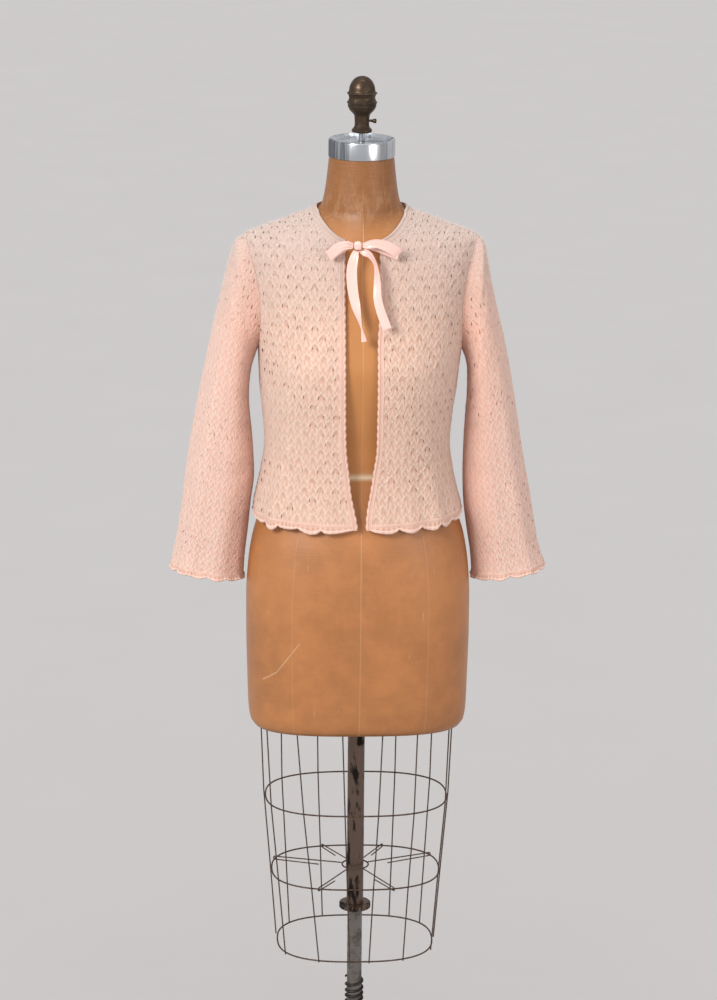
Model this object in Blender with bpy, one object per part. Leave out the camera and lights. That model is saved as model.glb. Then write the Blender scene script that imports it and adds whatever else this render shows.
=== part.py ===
"""A lace-knit bed jacket worn by a canvas dress form on a wire cage and a pole stand.

The jacket is built as it is made: a back, two fronts, two set-in sleeves, and
narrow crocheted edgings along the neck, fronts, hem and cuffs. Each is a cloth
wall on one shared body surface or on a sleeve tube. A satin ribbon ties in a bow
at the neck. Metres, +Z up, the floor at z = 0, the pole on the Z axis. The
wearer faces -Y, so +X is the wearer's left. Tables are in millimetres.
"""
import math
from collections import namedtuple

import bpy
from mathutils import Vector

MM = 0.001

# Cloth and seams
CLOTH = 2.0 * MM            # thickness of the lace knit
EDGING = 2.4 * MM           # thickness of the crocheted edgings
SATIN = 1.0 * MM            # thickness of the ribbon
SEAM = 0.4 * MM             # space left between two sewn pieces
CLEAR = 0.3 * MM            # space between hard pieces that touch

# Heights that several pieces share
HEM = 940 * MM              # lower edge of the body panels, about level
HEM_FRONT = HEM - 1.5 * MM  # its height at each front edge
HEM_BACK = HEM              # at the centre of the back
HEM_SIDES = {1: HEM + 6 * MM, -1: HEM + 1 * MM}     # at the left and the right side seam
UNDERARM = 1180 * MM        # where the side seams start
SHOULDER_TIP = 1353 * MM    # outer end of the shoulder seams
TORSO_BOTTOM = 605 * MM

# How finely the cloth is divided
ARMHOLE_STEPS = 24          # points round an armhole, a sleeve and a cuff
SIDE_STEPS = 6              # rows from the underarm to the hem
FRONT_COLUMNS = 12          # strips across a front
HALF_BACK_COLUMNS = 10      # strips across half of the back

# Armhole: half height, and how far it is cut into the front and the back
ARMHOLE_RISE = 0.5 * (SHOULDER_TIP - UNDERARM)
ARMHOLE_FRONT = 49 * MM
ARMHOLE_BACK = 44 * MM

# Edgings
HEM_TRIM = 7 * MM           # width of the hem strip between two scallops
HEM_SCALLOP = 5 * MM        # how far a scallop stands below that
HEM_SCALLOPS = 25
CUFF_TRIM = 6 * MM
CUFF_SCALLOP = 4 * MM
CUFF_SCALLOPS = 12
FRONT_TRIM = 7.5 * MM
FRONT_SCALLOP = 1.2 * MM
FRONT_SCALLOPS = 22
SCALLOP_STEPS = 4           # strips in a scallop of the hem or a cuff
FRONT_SCALLOP_STEPS = 3     # strips in a scallop of a front edging
SCALLOP_ROUNDNESS = 0.7     # below 1 a scallop is blunter than half a sine wave
CUFF_FLARE = 0.02           # how much wider than the sleeve's end the cuff's foot is

# How finely the round parts are divided
TORSO_SIDES = 32
CAP_SIDES = 28
STEM_SIDES = 14
FINIAL_SIDES = 18
SCREW_SIDES = 10
KNOT_SIDES = 16
POLE_SIDES = 24
BASE_SIDES = 32
CAGE_RING_STEPS = 36
HUB_STEPS = 20
ARM_BEND_STEPS = 6
SPRING_STEPS = 10           # points in one turn of the spring
RIBBON_STEPS = 2            # strips between two rows of a ribbon's table

# Small sizes of the metal parts
ARM_STRAIGHT_END = 9 * MM   # where a spider arm's straight run stops, inside its ring
ARM_DROP = 0.9              # how far the returning wire hangs, in wire spacings
BORE_DEPTH = 8 * MM         # solid length at the top of the upper tube
SPRING_EASE = 0.035         # how flat the spring's end turns lie

# A horizontal section of the body. The width is from the axis to the side, and
# power shapes the superellipse: 2 is an ellipse, more is squarer.
Section = namedtuple("Section", "height half_width front back power shift")

FORM = [
    Section(605, 158.0, 98.0, 96.0, 3.0, 0),
    Section(613, 163.0, 103.0, 101.0, 3.0, 0),
    Section(632, 165.5, 107.0, 105.0, 2.9, 0),
    Section(680, 167.0, 113.0, 112.0, 2.7, 0),
    Section(750, 168.5, 120.0, 121.0, 2.6, 0),
    Section(800, 168.5, 122.5, 125.0, 2.5, 0),
    Section(850, 165.5, 120.0, 123.0, 2.45, 0),
    Section(893, 159.0, 114.0, 115.0, 2.4, 0),
    Section(923, 150.0, 107.0, 107.0, 2.35, 0),
    Section(960, 136.5, 99.0, 95.0, 2.3, 0),
    Section(1005, 121.0, 93.0, 84.0, 2.25, 0),
    Section(1050, 124.0, 97.0, 85.0, 2.25, 0),
    Section(1090, 131.0, 106.0, 91.0, 2.3, 0),
    Section(1130, 138.0, 114.0, 97.0, 2.35, 0),
    Section(1165, 142.0, 118.0, 102.0, 2.35, 0),
    Section(1200, 145.5, 113.5, 107.0, 2.3, 0),
    Section(1240, 149.0, 106.5, 108.0, 2.3, 0),
    Section(1280, 154.0, 98.0, 104.0, 2.3, 0),
    Section(1310, 162.0, 89.5, 98.0, 2.2, 0),
    Section(1330, 168.0, 82.5, 91.5, 2.1, 0),
    Section(1346, 165.5, 77.0, 86.5, 1.95, 0),
    Section(1354.1, 156.5, 75.0, 83.5, 1.75, 0),
    Section(1362.0, 137.5, 71.5, 79.5, 1.6, 0),
    Section(1369.2, 119.0, 68.0, 75.5, 1.45, 0),
    Section(1377.2, 99.2, 64.5, 70.5, 1.36, 0),
    Section(1386.0, 75.0, 60.2, 64.5, 1.4, 0),
    Section(1391, 61.5, 58.0, 61.0, 1.7, 0),
    Section(1401, 56.5, 55.5, 58.0, 2.0, 0),
    Section(1422, 52.5, 53.5, 55.0, 2.0, 0),
    Section(1466.5, 47.4, 51.0, 52.0, 2.0, 0),
]

JACKET = [
    Section(925, 157.0, 117.5, 114.5, 2.4, -2),
    Section(940, 156.5, 116.5, 112.5, 2.4, -2),
    Section(965, 151.0, 114.0, 107.0, 2.4, -3),
    Section(1000, 143.5, 113.5, 102.5, 2.35, -3),
    Section(1040, 138.5, 117.0, 101.0, 2.35, -3),
    Section(1085, 141.5, 122.5, 103.5, 2.35, -3),
    Section(1130, 147.0, 126.5, 108.0, 2.35, -2),
    Section(1165, 149.5, 127.0, 111.5, 2.35, -1),
    Section(1200, 152.5, 121.5, 114.0, 2.3, 0),
    Section(1240, 157.0, 114.0, 114.5, 2.3, 0),
    Section(1280, 163.0, 105.5, 111.0, 2.3, 0),
    Section(1310, 170.0, 97.0, 105.0, 2.2, 0),
    Section(1330, 174.0, 90.0, 98.5, 2.1, 0),
    Section(1345, 173.5, 84.5, 93.5, 1.95, 0),
    Section(1353, 168.0, 81.0, 90.0, 1.8, 0),
    Section(1357, 159.0, 79.0, 88.0, 1.72, 0),
    Section(1364.5, 139.5, 76.0, 84.5, 1.6, 0),
    Section(1372, 120.0, 73.0, 81.0, 1.47, 0),
    Section(1380, 100.0, 69.5, 76.0, 1.36, 0),
    Section(1389.5, 75.0, 65.5, 70.0, 1.4, 0),
    Section(1396.5, 66.0, 63.0, 66.0, 1.7, 0),
    Section(1405, 61.5, 60.0, 62.5, 2.0, 0),
]

# The bust: two soft rises, the same under the cloth and on it
BUST_HEIGHT = 1163 * MM
BUST_SIDE = 76 * MM
BUST_RISE = 7 * MM
BUST_REACH = 42 * MM

# Soft folds of the jacket's body. Each runs down from its top, widens and
# stands out from the form by its depth at the hem. Degrees go round from the
# wearer's left side (0) by the front (90) and the other side (180).
Fold = namedtuple("Fold", "angle half_width depth top")

BODY_FOLDS = [
    Fold(20, 13, 2.0, 1080),
    Fold(45, 12, 4.5, 1120),
    Fold(66, 11, 3.0, 1060),
    Fold(80, 9, 2.5, 1040),
    Fold(103, 9, 3.5, 1090),
    Fold(122, 12, 3.0, 1050),
    Fold(141, 11, 5.0, 1130),
    Fold(162, 12, 2.5, 1070),
    Fold(203, 13, 4.0, 1100),
    Fold(229, 12, 5.0, 1140),
    Fold(253, 12, 3.5, 1070),
    Fold(277, 13, 5.0, 1120),
    Fold(301, 12, 3.5, 1090),
    Fold(326, 13, 5.0, 1140),
]

# The neck, seen from the front: the top of its band, and the upper edge of the
# panels below the band. Row 1 lies on the shoulder seam.
NeckPoint = namedtuple("NeckPoint", "band_x band_z panel_x panel_z")

NECK_FRONT = [
    NeckPoint(66.0, 1396.5, 72.3, 1390.7),
    NeckPoint(64.0, 1390.5, 70.5, 1386.2),
    NeckPoint(59.5, 1382.5, 65.5, 1378.0),
    NeckPoint(52.5, 1374.5, 58.5, 1369.8),
    NeckPoint(45.5, 1368.0, 50.5, 1363.0),
    NeckPoint(38.0, 1362.5, 42.0, 1357.0),
    NeckPoint(31.5, 1359.0, 33.5, 1352.5),
]
NECK_CORNER = NeckPoint(25.0, 1356.5, 25.5, 1349.5)

# The front edgings' upper end slants with the neck band that they meet
FRONT_TOP_OUTER = 1351.2
FRONT_TOP_INNER = 1348.8

NECK_BACK = [
    NeckPoint(66.0, 1396.5, 72.3, 1390.7),
    NeckPoint(61.5, 1395.0, 67.0, 1388.8),
    NeckPoint(50.0, 1393.5, 55.0, 1387.0),
    NeckPoint(36.0, 1392.5, 40.0, 1385.5),
    NeckPoint(18.0, 1391.7, 20.0, 1384.5),
    NeckPoint(0.0, 1391.5, 0.0, 1384.2),
]

# The front opening: how far each front's edging stands from the centre
Opening = namedtuple("Opening", "height left right")

FRONT_OPENING = [
    Opening(1352, 24.5, 25.5),
    Opening(1325, 24.5, 26.0),
    Opening(1280, 25.5, 26.0),
    Opening(1205, 21.5, 25.5),
    Opening(1130, 22.0, 25.0),
    Opening(1060, 22.0, 23.5),
    Opening(1012, 16.5, 18.5),
    Opening(985, 12.5, 15.5),
    Opening(960, 8.5, 10.5),
    Opening(940, 7.0, 6.5),
    Opening(925, 7.0, 5.5),
]

# Sleeve sections from the armhole to the cuff. The outer and inner points are
# the sleeve's outline from the front, for the wearer's left (l) and right (r).
SleeveRow = namedtuple(
    "SleeveRow", "outer_l outer_r outer_z inner_l inner_r inner_z half_depth back")

# The rows from the elbow down tilt more and more, because each cuff is level with
# the sleeve's own line and so hangs lower at its inner side
SLEEVE = [
    SleeveRow(181.0, 183.0, 1341.5, 156.0, 156.0, 1166, 50, -2),
    SleeveRow(186.0, 192.0, 1318.0, 159.0, 160.0, 1152, 53, -1),
    SleeveRow(192.5, 200.0, 1287.0, 160.0, 162.5, 1135, 55, 0),
    SleeveRow(202.0, 210.5, 1245.0, 160.0, 164.0, 1112, 56, 2),
    SleeveRow(213.5, 221.0, 1200.0, 158.5, 163.0, 1085, 55, 4),
    SleeveRow(224.5, 232.0, 1148.0, 157.0, 160.0, 1055, 54, 6),
    SleeveRow(235.0, 244.0, 1088.0, 156.0, 157.5, 1020, 53, 8),
    SleeveRow(246.0, 255.5, 1022.0, 156.0, 156.5, 982, 51, 9),
    SleeveRow(258.0, 263.5, 960.0, 158.0, 161.5, 942, 50, 10),
    SleeveRow(266.0, 269.5, 914.0, 163.5, 165.5, 901, 49, 11),
    SleeveRow(273.5, 276.5, 876.0, 169.5, 170.0, 864, 48, 12),
    SleeveRow(282.5, 282.5, 849.0, 172.0, 172.0, 834, 48, 12),
]
SLEEVE_POWER = 2.2

SleeveFold = namedtuple("SleeveFold", "angle half_width depth")

SLEEVE_FOLDS = [
    SleeveFold(35, 24, 2.5),
    SleeveFold(80, 22, 3.5),
    SleeveFold(130, 24, 2.5),
    SleeveFold(215, 24, 3.0),
    SleeveFold(262, 22, 3.5),
    SleeveFold(315, 24, 2.5),
]

# The ribbon's pieces. Across is the direction of its width in degrees from +X,
# seen from the front, and lean turns that width towards the viewer.
RibbonRow = namedtuple("RibbonRow", "x y z width across lean")

BOW_LOOP_RIGHT = [
    RibbonRow(-14.8, -97.5, 1352.3, 6, 91, 0),
    RibbonRow(-18, -99.5, 1352.5, 9, 95, 0),
    RibbonRow(-25, -103.0, 1353.8, 12, 104, 0),
    RibbonRow(-34, -104.0, 1351.5, 14, 116, 0),
    RibbonRow(-43, -103.0, 1344.5, 15, 122, 0),
    RibbonRow(-49.0, -100.5, 1339.0, 15, 124, 0),
    RibbonRow(-51.0, -98.0, 1337.0, 15, 124, 0),
    RibbonRow(-48.5, -95.5, 1338.0, 15, 124, 0),
    RibbonRow(-40, -94.0, 1342.5, 14, 120, 0),
    RibbonRow(-29, -94.0, 1348.0, 12, 108, 0),
    RibbonRow(-19.5, -94.0, 1351.0, 8, 96, 0),
    RibbonRow(-14.8, -94.0, 1351.3, 6, 91, 0),
]
BOW_LOOP_LEFT = [
    RibbonRow(-1.2, -97.5, 1352.3, 6, 89, 0),
    RibbonRow(2, -99.5, 1352.6, 9, 87, 0),
    RibbonRow(9, -103.0, 1355.0, 12, 82, 0),
    RibbonRow(20, -104.5, 1356.5, 13, 76, 0),
    RibbonRow(34, -104.5, 1352.5, 15, 62, 0),
    RibbonRow(46, -102.5, 1345.0, 15, 55, 0),
    RibbonRow(52.0, -99.0, 1340.0, 15, 52, 0),
    RibbonRow(48, -95.5, 1339.5, 15, 55, 0),
    RibbonRow(36, -94.0, 1343.5, 14, 62, 0),
    RibbonRow(20, -94.0, 1348.5, 12, 74, 0),
    RibbonRow(3.5, -94.0, 1351.0, 8, 87, 0),
    RibbonRow(-1.2, -94.0, 1351.3, 6, 89, 0),
]
BOW_TAIL_RIGHT = [
    RibbonRow(-10.5, -97.0, 1344.3, 8, 6, 0),
    RibbonRow(-13.5, -101.0, 1336.0, 12, 8, 0),
    RibbonRow(-17.0, -106.5, 1318.0, 15, 4, 0),
    RibbonRow(-16.0, -113.0, 1294.0, 15, 0, 0),
    RibbonRow(-11.5, -119.5, 1270.0, 13, 4, 10),
    RibbonRow(-6.0, -124.5, 1250.0, 9, 20, 40),
    RibbonRow(-2.5, -128.0, 1236.0, 8, 12, 68),
    RibbonRow(-0.5, -130.0, 1226.0, 10, 4, 52),
    RibbonRow(1.0, -131.5, 1218.5, 11, -4, 40),
]
BOW_TAIL_LEFT = [
    RibbonRow(-5.5, -93.0, 1344.3, 7, -8, 0),
    RibbonRow(1.0, -96.0, 1342.5, 10, -2, 20),
    RibbonRow(10.0, -101.5, 1338.5, 12, 4, 45),
    RibbonRow(17.5, -107.5, 1325.0, 12, -2, 60),
    RibbonRow(19.5, -115.0, 1302.0, 13, -4, 45),
    RibbonRow(20.0, -121.0, 1281.0, 13, 6, 25),
    RibbonRow(24.5, -126.0, 1262.0, 13, 18, 10),
    RibbonRow(31.5, -130.0, 1243.0, 13, 22, 0),
    RibbonRow(34.0, -131.0, 1237.0, 13, 24, 0),
]
RIBBON_LEAD_RIGHT = [
    RibbonRow(-23.7, -79.2, 1353.1, 7, 90, -29),
    RibbonRow(-21.0, -83.5, 1353.0, 7, 90, -16),
    RibbonRow(-14.8, -91.2, 1352.0, 7, 90, 0),
]
RIBBON_LEAD_LEFT = [
    RibbonRow(24.0, -78.9, 1353.1, 7, 90, -29),
    RibbonRow(13.0, -85.5, 1353.0, 7, 90, -12),
    RibbonRow(-1.2, -91.2, 1352.0, 7, 90, 0),
]
KNOT_CENTRE = Vector((-8.0, -94.5, 1351.5)) * MM
KNOT_HALF = Vector((6.2, 5.6, 6.5)) * MM
KNOT_SQUARENESS = 5.0

# How full the knot is at each share of its half height
KnotRow = namedtuple("KnotRow", "share fullness")

KNOT = [KnotRow(-1.0, 0.72), KnotRow(-0.75, 0.95), KnotRow(0.0, 1.0),
        KnotRow(0.75, 0.95), KnotRow(1.0, 0.72)]

# The neck cap: width and depth of each ring as a share of the neck's size
CapRow = namedtuple("CapRow", "height half_width half_depth")

NECK_CAP = [
    CapRow(1466.8, 47.4, 51.4),
    CapRow(1466.8, 48.6, 52.6),
    CapRow(1489.5, 48.6, 52.6),
    CapRow(1491.8, 47.8, 51.8),
    CapRow(1492.4, 46.2, 50.2),
    CapRow(1491.6, 44.4, 48.4),
    CapRow(1487.6, 40.0, 44.0),
    CapRow(1486.8, 30.0, 33.0),
    CapRow(1488.4, 14.0, 15.0),
]
STEM_RADIUS = 5 * MM
STEM_BOTTOM = 1488.7 * MM
STEM_TOP = 1500.7 * MM

Turning = namedtuple("Turning", "height radius")

FINIAL = [
    Turning(1501.0, 12.5),
    Turning(1502.2, 14.6),
    Turning(1504.8, 14.8),
    Turning(1507.4, 12.6),
    Turning(1511.0, 10.8),
    Turning(1523.0, 11.0),
    Turning(1527.5, 12.4),
    Turning(1533.0, 17.6),
    Turning(1539.0, 20.6),
    Turning(1542.6, 20.9),
    Turning(1544.6, 22.2),
    Turning(1546.6, 20.6),
    Turning(1551.5, 19.0),
    Turning(1556.4, 20.6),
    Turning(1558.4, 22.3),
    Turning(1560.4, 19.6),
    Turning(1568.0, 18.2),
    Turning(1575.5, 14.6),
    Turning(1580.5, 9.0),
    Turning(1582.5, 3.5),
]
SCREW_HEIGHT = 1518.5 * MM
SCREW_ANGLE = -22.0         # degrees from +X, towards the viewer
SCREW = [Turning(11.35, 2.0), Turning(17.5, 2.0), Turning(17.7, 3.6), Turning(22.0, 3.6)]

# The wire cage. Its section is a rounded oblong.
CAGE_POWER = 2.6
RING_WIRE = 1.3 * MM        # radius
UPRIGHT_WIRE = 1.1 * MM     # radius
ARM_WIRE = 1.0 * MM         # radius
CageRing = namedtuple("CageRing", "name height half_width half_depth")

CAGE_RINGS = [
    CageRing("cage_ring_top", 477.1, 139.5, 98.2),
    CageRing("cage_ring_middle", 355.7, 129.7, 92.7),
    CageRing("cage_ring_bottom", 237.4, 120.7, 92.3),
]
CAGE_TOP = CageRing("", 605.0, 147.0, 88.0)

# Where each upright stands, in degrees round the cage, at its top and foot
Upright = namedtuple("Upright", "top foot")

UPRIGHTS = [
    Upright(20.9, 22.5), Upright(58.5, 60.8), Upright(80.7, 85.1), Upright(95.5, 92.5),
    Upright(123.3, 112.0), Upright(156.9, 148.0), Upright(184.7, 189.2), Upright(223.6, 219.8),
    Upright(252.6, 253.0), Upright(290.6, 292.0), Upright(320.5, 324.0), Upright(359.0, 358.5),
]
ARM_ANGLES = [70.8, 110.7, 200.5, 254.0, 284.7, 331.3]
ARM_DOUBLED = [0.62, 0.55, 0.66, 0.50, 0.50, 0.68]   # share of each arm that is doubled
HUB_HEIGHT = 360.9 * MM
HUB_RADIUS = 20.5 * MM

# The pole
TUBE_RADIUS = 12.9 * MM
TUBE_BORE = 11.8 * MM
TUBE_BOTTOM = 298.3 * MM
COLLAR_RADIUS = 24.2 * MM
COLLAR_BORE = 11.7 * MM
COLLAR_BOTTOM = 291.0 * MM
COLLAR_TOP = 298.0 * MM
ROD_RADIUS = 11.4 * MM
ROD_TOP = 480.0 * MM
SOCKET_FLOOR = 60.0 * MM
SOCKET_TOP = 112.0 * MM
SPRING_RADIUS = 13.8 * MM
SPRING_WIRE = 1.8 * MM      # radius
SPRING_TURNS = 5.5
SPRING_TOP = 173.0 * MM

BaseRow = namedtuple("BaseRow", "height radius")

BASE = [
    BaseRow(0.0, 188.0),
    BaseRow(0.0, 190.0),
    BaseRow(7.0, 190.0),
    BaseRow(12.0, 183.0),
    BaseRow(17.0, 130.0),
    BaseRow(24.0, 70.0),
    BaseRow(34.0, 30.0),
    BaseRow(44.0, 21.0),
    BaseRow(108.0, 18.5),
    BaseRow(112.0, 17.0),
    BaseRow(112.0, 11.8),
    BaseRow(60.0, 11.8),
]

# Colour (linear), roughness and metallic value of each finish
Finish = namedtuple("Finish", "colour roughness metallic")

FINISHES = {
    "lace_knit": Finish((0.80, 0.56, 0.46), 0.9, 0.0),
    "sleeve_knit": Finish((0.84, 0.52, 0.40), 0.9, 0.0),
    "edging_knit": Finish((0.84, 0.58, 0.49), 0.9, 0.0),
    "satin": Finish((0.86, 0.55, 0.47), 0.3, 0.0),
    "canvas": Finish((0.50, 0.25, 0.10), 0.85, 0.0),
    "polished_steel": Finish((0.80, 0.82, 0.84), 0.15, 1.0),
    "aged_brass": Finish((0.10, 0.065, 0.03), 0.4, 0.9),
    "rusty_wire": Finish((0.10, 0.06, 0.04), 0.6, 0.8),
    "worn_tube": Finish((0.05, 0.03, 0.02), 0.5, 0.6),
    "grey_steel": Finish((0.24, 0.23, 0.22), 0.45, 0.9),
    "cast_iron": Finish((0.03, 0.03, 0.03), 0.6, 0.6),
}


def clear_scene():
    for old in list(bpy.data.objects):
        bpy.data.objects.remove(old)


def finish(name):
    material = bpy.data.materials.get(name)
    if material:
        return material
    look = FINISHES[name]
    material = bpy.data.materials.new(name)
    material.use_nodes = True
    shader = material.node_tree.nodes["Principled BSDF"]
    shader.inputs["Base Color"].default_value = (*look.colour, 1.0)
    shader.inputs["Roughness"].default_value = look.roughness
    shader.inputs["Metallic"].default_value = look.metallic
    return material


def add_mesh(name, points, faces, look):
    mesh = bpy.data.meshes.new(name)
    mesh.from_pydata([tuple(p) for p in points], [], faces)
    mesh.materials.append(finish(look))
    mesh.shade_smooth()
    mesh.set_sharp_from_angle(angle=math.radians(40))
    piece = bpy.data.objects.new(name, mesh)
    bpy.context.collection.objects.link(piece)
    return piece


def signed_power(value, power):
    return math.copysign(abs(value) ** power, value)


def read_table(rows, place, key):
    """The row at a place between two rows, on a smooth curve that never overshoots."""
    rows = sorted(rows, key=lambda row: getattr(row, key))
    keys = [getattr(row, key) for row in rows]
    place = min(max(place, keys[0]), keys[-1])
    index = 0
    while index < len(keys) - 2 and place > keys[index + 1]:
        index += 1
    span = keys[index + 1] - keys[index]
    share = (place - keys[index]) / span
    values = []
    for column in rows[0]._fields:
        values.append(column_value(rows, keys, index, share, column))
    return rows[0]._make(values)


def column_value(rows, keys, index, share, column):
    values = [getattr(row, column) for row in rows]

    def slope(at):
        if at == 0 or at == len(values) - 1:
            return None
        below = (values[at] - values[at - 1]) / (keys[at] - keys[at - 1])
        above = (values[at + 1] - values[at]) / (keys[at + 1] - keys[at])
        if below * above <= 0:
            return 0.0
        return 2 * below * above / (below + above)

    span = keys[index + 1] - keys[index]
    chord = (values[index + 1] - values[index]) / span
    start = slope(index)
    end = slope(index + 1)
    start = chord if start is None else start
    end = chord if end is None else end
    s2 = share * share
    s3 = s2 * share
    return (values[index] * (2 * s3 - 3 * s2 + 1) + start * span * (s3 - 2 * s2 + share)
            + values[index + 1] * (3 * s2 - 2 * s3) + end * span * (s3 - s2))


def bust(x, z):
    rise = 0.0
    for side in (-1, 1):
        away = ((x - side * BUST_SIDE) ** 2 + (z - BUST_HEIGHT) ** 2) / BUST_REACH ** 2
        rise += BUST_RISE * math.exp(-0.5 * away)
    return rise


def soft_bump(distance):
    """1 at 0, falling smoothly to 0 at a distance of 1."""
    if abs(distance) >= 1:
        return 0.0
    return 0.5 + 0.5 * math.cos(math.pi * distance)


def fold_depth(angle, z):
    degrees = math.degrees(angle) % 360
    depth = 0.0
    for fold in BODY_FOLDS:
        away = (degrees - fold.angle + 180) % 360 - 180
        top = fold.top * MM
        drop = min(max((top - z) / (top - HEM), 0.0), 1.15)
        depth += fold.depth * MM * soft_bump(away / fold.half_width) * drop ** 1.4
    return depth


def section_at(rows, z):
    row = read_table(rows, z / MM, "height")
    return Section(z, row.half_width * MM, row.front * MM, row.back * MM,
                   row.power, row.shift * MM)


def body_point(rows, angle, z, folds=True):
    """A point of the form or the jacket: angle 0 is +X, a quarter turn is the front."""
    row = section_at(rows, z)
    cosine = signed_power(math.cos(angle), 2 / row.power)
    sine = signed_power(math.sin(angle), 2 / row.power)
    depth = row.front if sine > 0 else row.back
    x = row.shift + row.half_width * cosine
    y = -depth * sine
    if sine > 0:
        y -= bust(x, z) * min(1.0, 2 * sine)
    if folds and rows is JACKET:
        out = fold_depth(angle, z)
        along = Vector((cosine, -sine)).normalized()
        x += out * along.x
        y += out * along.y
    return Vector((x, y, z))


def jacket_normal(angle, z):
    """Outward direction of the jacket, from points a little to each side of this one."""
    turn = 0.004
    rise = 0.8 * MM
    across = body_point(JACKET, angle + turn, z) - body_point(JACKET, angle - turn, z)
    up = body_point(JACKET, angle, z + rise) - body_point(JACKET, angle, z - rise)
    return up.cross(across).normalized()


def angle_from_x(x, z, front):
    """The angle at which the jacket's section has this x."""
    row = section_at(JACKET, z)
    share = (x - row.shift) / row.half_width
    share = min(max(share, -1.0), 1.0)
    angle = math.acos(signed_power(share, row.power / 2))
    return angle if front else -angle


def armhole_angle(turn):
    """Angle and height on the wearer's left armhole: turn 0 is the shoulder tip."""
    z = UNDERARM + ARMHOLE_RISE * (1 + math.cos(turn))
    row = section_at(JACKET, z)
    sine = math.sin(turn)
    if abs(sine) < 1e-9:
        return 0.0, z
    if sine > 0:
        share = ARMHOLE_FRONT * sine / row.front
    else:
        share = ARMHOLE_BACK * sine / row.back
    return math.asin(signed_power(share, row.power / 2)), z


class Cloth:
    """Outer points with their normals, joined by four-sided faces."""

    def __init__(self):
        self.points = []
        self.normals = []
        self.quads = []

    def add(self, point, normal):
        self.points.append(point)
        self.normals.append(normal)
        return len(self.points) - 1

    def grid(self, rows, wrap=False):
        """Join rows of point numbers. Rows go down, and points go to the viewer's right."""
        for upper, lower in zip(rows, rows[1:]):
            count = len(upper)
            last = count if wrap else count - 1
            for k in range(last):
                nxt = (k + 1) % count
                self.quads.append((upper[k], lower[k], lower[nxt], upper[nxt]))

    def wall(self, name, thickness, look):
        """The solid between the points and the same points moved in."""
        count = len(self.points)
        points = list(self.points)
        for point, normal in zip(self.points, self.normals):
            points.append(point - normal * thickness)
        faces = [tuple(quad) for quad in self.quads]
        faces += [tuple(count + k for k in reversed(quad)) for quad in self.quads]
        used = set()
        for quad in self.quads:
            for k in range(4):
                used.add((quad[k], quad[(k + 1) % 4]))
        for start, end in sorted(used):
            if (end, start) not in used:
                faces.append((end, start, count + start, count + end))
        return add_mesh(name, points, faces, look)


def jacket_cloth_point(cloth, angle, z, seam=0.0):
    """Add a point of the jacket, moved along Y by the seam's share of space."""
    point = body_point(JACKET, angle, z)
    point.y += seam
    return cloth.add(point, jacket_normal(angle, z))


def edge_heights(top, count, hem):
    """Heights down a panel's long edge: the armhole's rows, then the side seam's."""
    lower = [UNDERARM + (hem - UNDERARM) * k / SIDE_STEPS for k in range(1, SIDE_STEPS + 1)]
    upper = [top + (UNDERARM - top) * k / count for k in range(1, count + 1)]
    return upper + lower


def opening_x(z, side):
    """Distance of a front's edging from the centre, straight between the panel's rows."""
    top = NECK_FRONT[-1].panel_z * MM
    heights = [top] + edge_heights(top, ARMHOLE_STEPS // 2 - len(NECK_FRONT) + 1, HEM_FRONT)
    heights.append(FRONT_OPENING[-1].height * MM)
    for upper, lower in zip(heights, heights[1:]):
        if z >= lower or lower == heights[-1]:
            share = (upper - z) / (upper - lower)
            first = smooth_opening(upper, side)
            second = smooth_opening(lower, side)
            return first + (second - first) * share


def smooth_opening(z, side):
    row = read_table(FRONT_OPENING, z / MM, "height")
    return (row.left if side > 0 else row.right) * MM


def mirror_angle(angle, side):
    return angle if side > 0 else math.pi - angle


def outer_edge(turn_sign, side):
    """(angle, height) down the armhole and the side seam, as for the wearer's left."""
    half = ARMHOLE_STEPS // 2
    edge = [armhole_angle(turn_sign * math.pi * k / half) for k in range(half + 1)]
    edge += [(0.0, z) for z in edge_heights(UNDERARM, 0, HEM_SIDES[side])]
    return edge


def inner_edge_front(side):
    """(angle, height) down the neck and the opening for a front."""
    edge = []
    for k, row in enumerate(NECK_FRONT):
        z = row.panel_z * MM
        if k == 0:
            edge.append((0.0, z))
        else:
            angle = angle_from_x(side * row.panel_x * MM, z, True)
            edge.append((mirror_angle(angle, side), z))
    rows_left = ARMHOLE_STEPS // 2 - len(NECK_FRONT) + 1
    for z in edge_heights(edge[-1][1], rows_left, HEM_FRONT):
        x = side * (opening_x(z, side) + FRONT_TRIM)
        angle = angle_from_x(x, z, True)
        edge.append((mirror_angle(angle, side), z))
    return edge


def inner_edge_back():
    """(angle, height) down the neck and the centre of the back, as for the left half."""
    edge = []
    for k, row in enumerate(NECK_BACK):
        z = row.panel_z * MM
        edge.append((0.0, z) if k == 0 else (angle_from_x(row.panel_x * MM, z, False), z))
    rows_left = ARMHOLE_STEPS // 2 - len(NECK_BACK) + 1
    for z in edge_heights(edge[-1][1], rows_left, HEM_BACK):
        edge.append((-math.pi / 2, z))
    return edge


def panel_rows(cloth, outer, inner, columns, side, seam, shared=None):
    """Rows of points between a panel's two long edges, and which are on a seam."""
    rows = []
    half = ARMHOLE_STEPS // 2
    for k, (start, end) in enumerate(zip(inner, outer)):
        row = []
        for j in range(columns + 1):
            share = j / columns
            angle = start[0] + (end[0] - start[0]) * share
            z = start[1] + (end[1] - start[1]) * share
            on_seam = k == 0 or (j == columns and k >= half)
            offset = seam if on_seam else 0.0
            if j == 0 and shared and k in shared:
                row.append(shared[k])
            else:
                row.append(jacket_cloth_point(cloth, mirror_angle(angle, side), z, offset))
        rows.append(row)
    return rows


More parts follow.
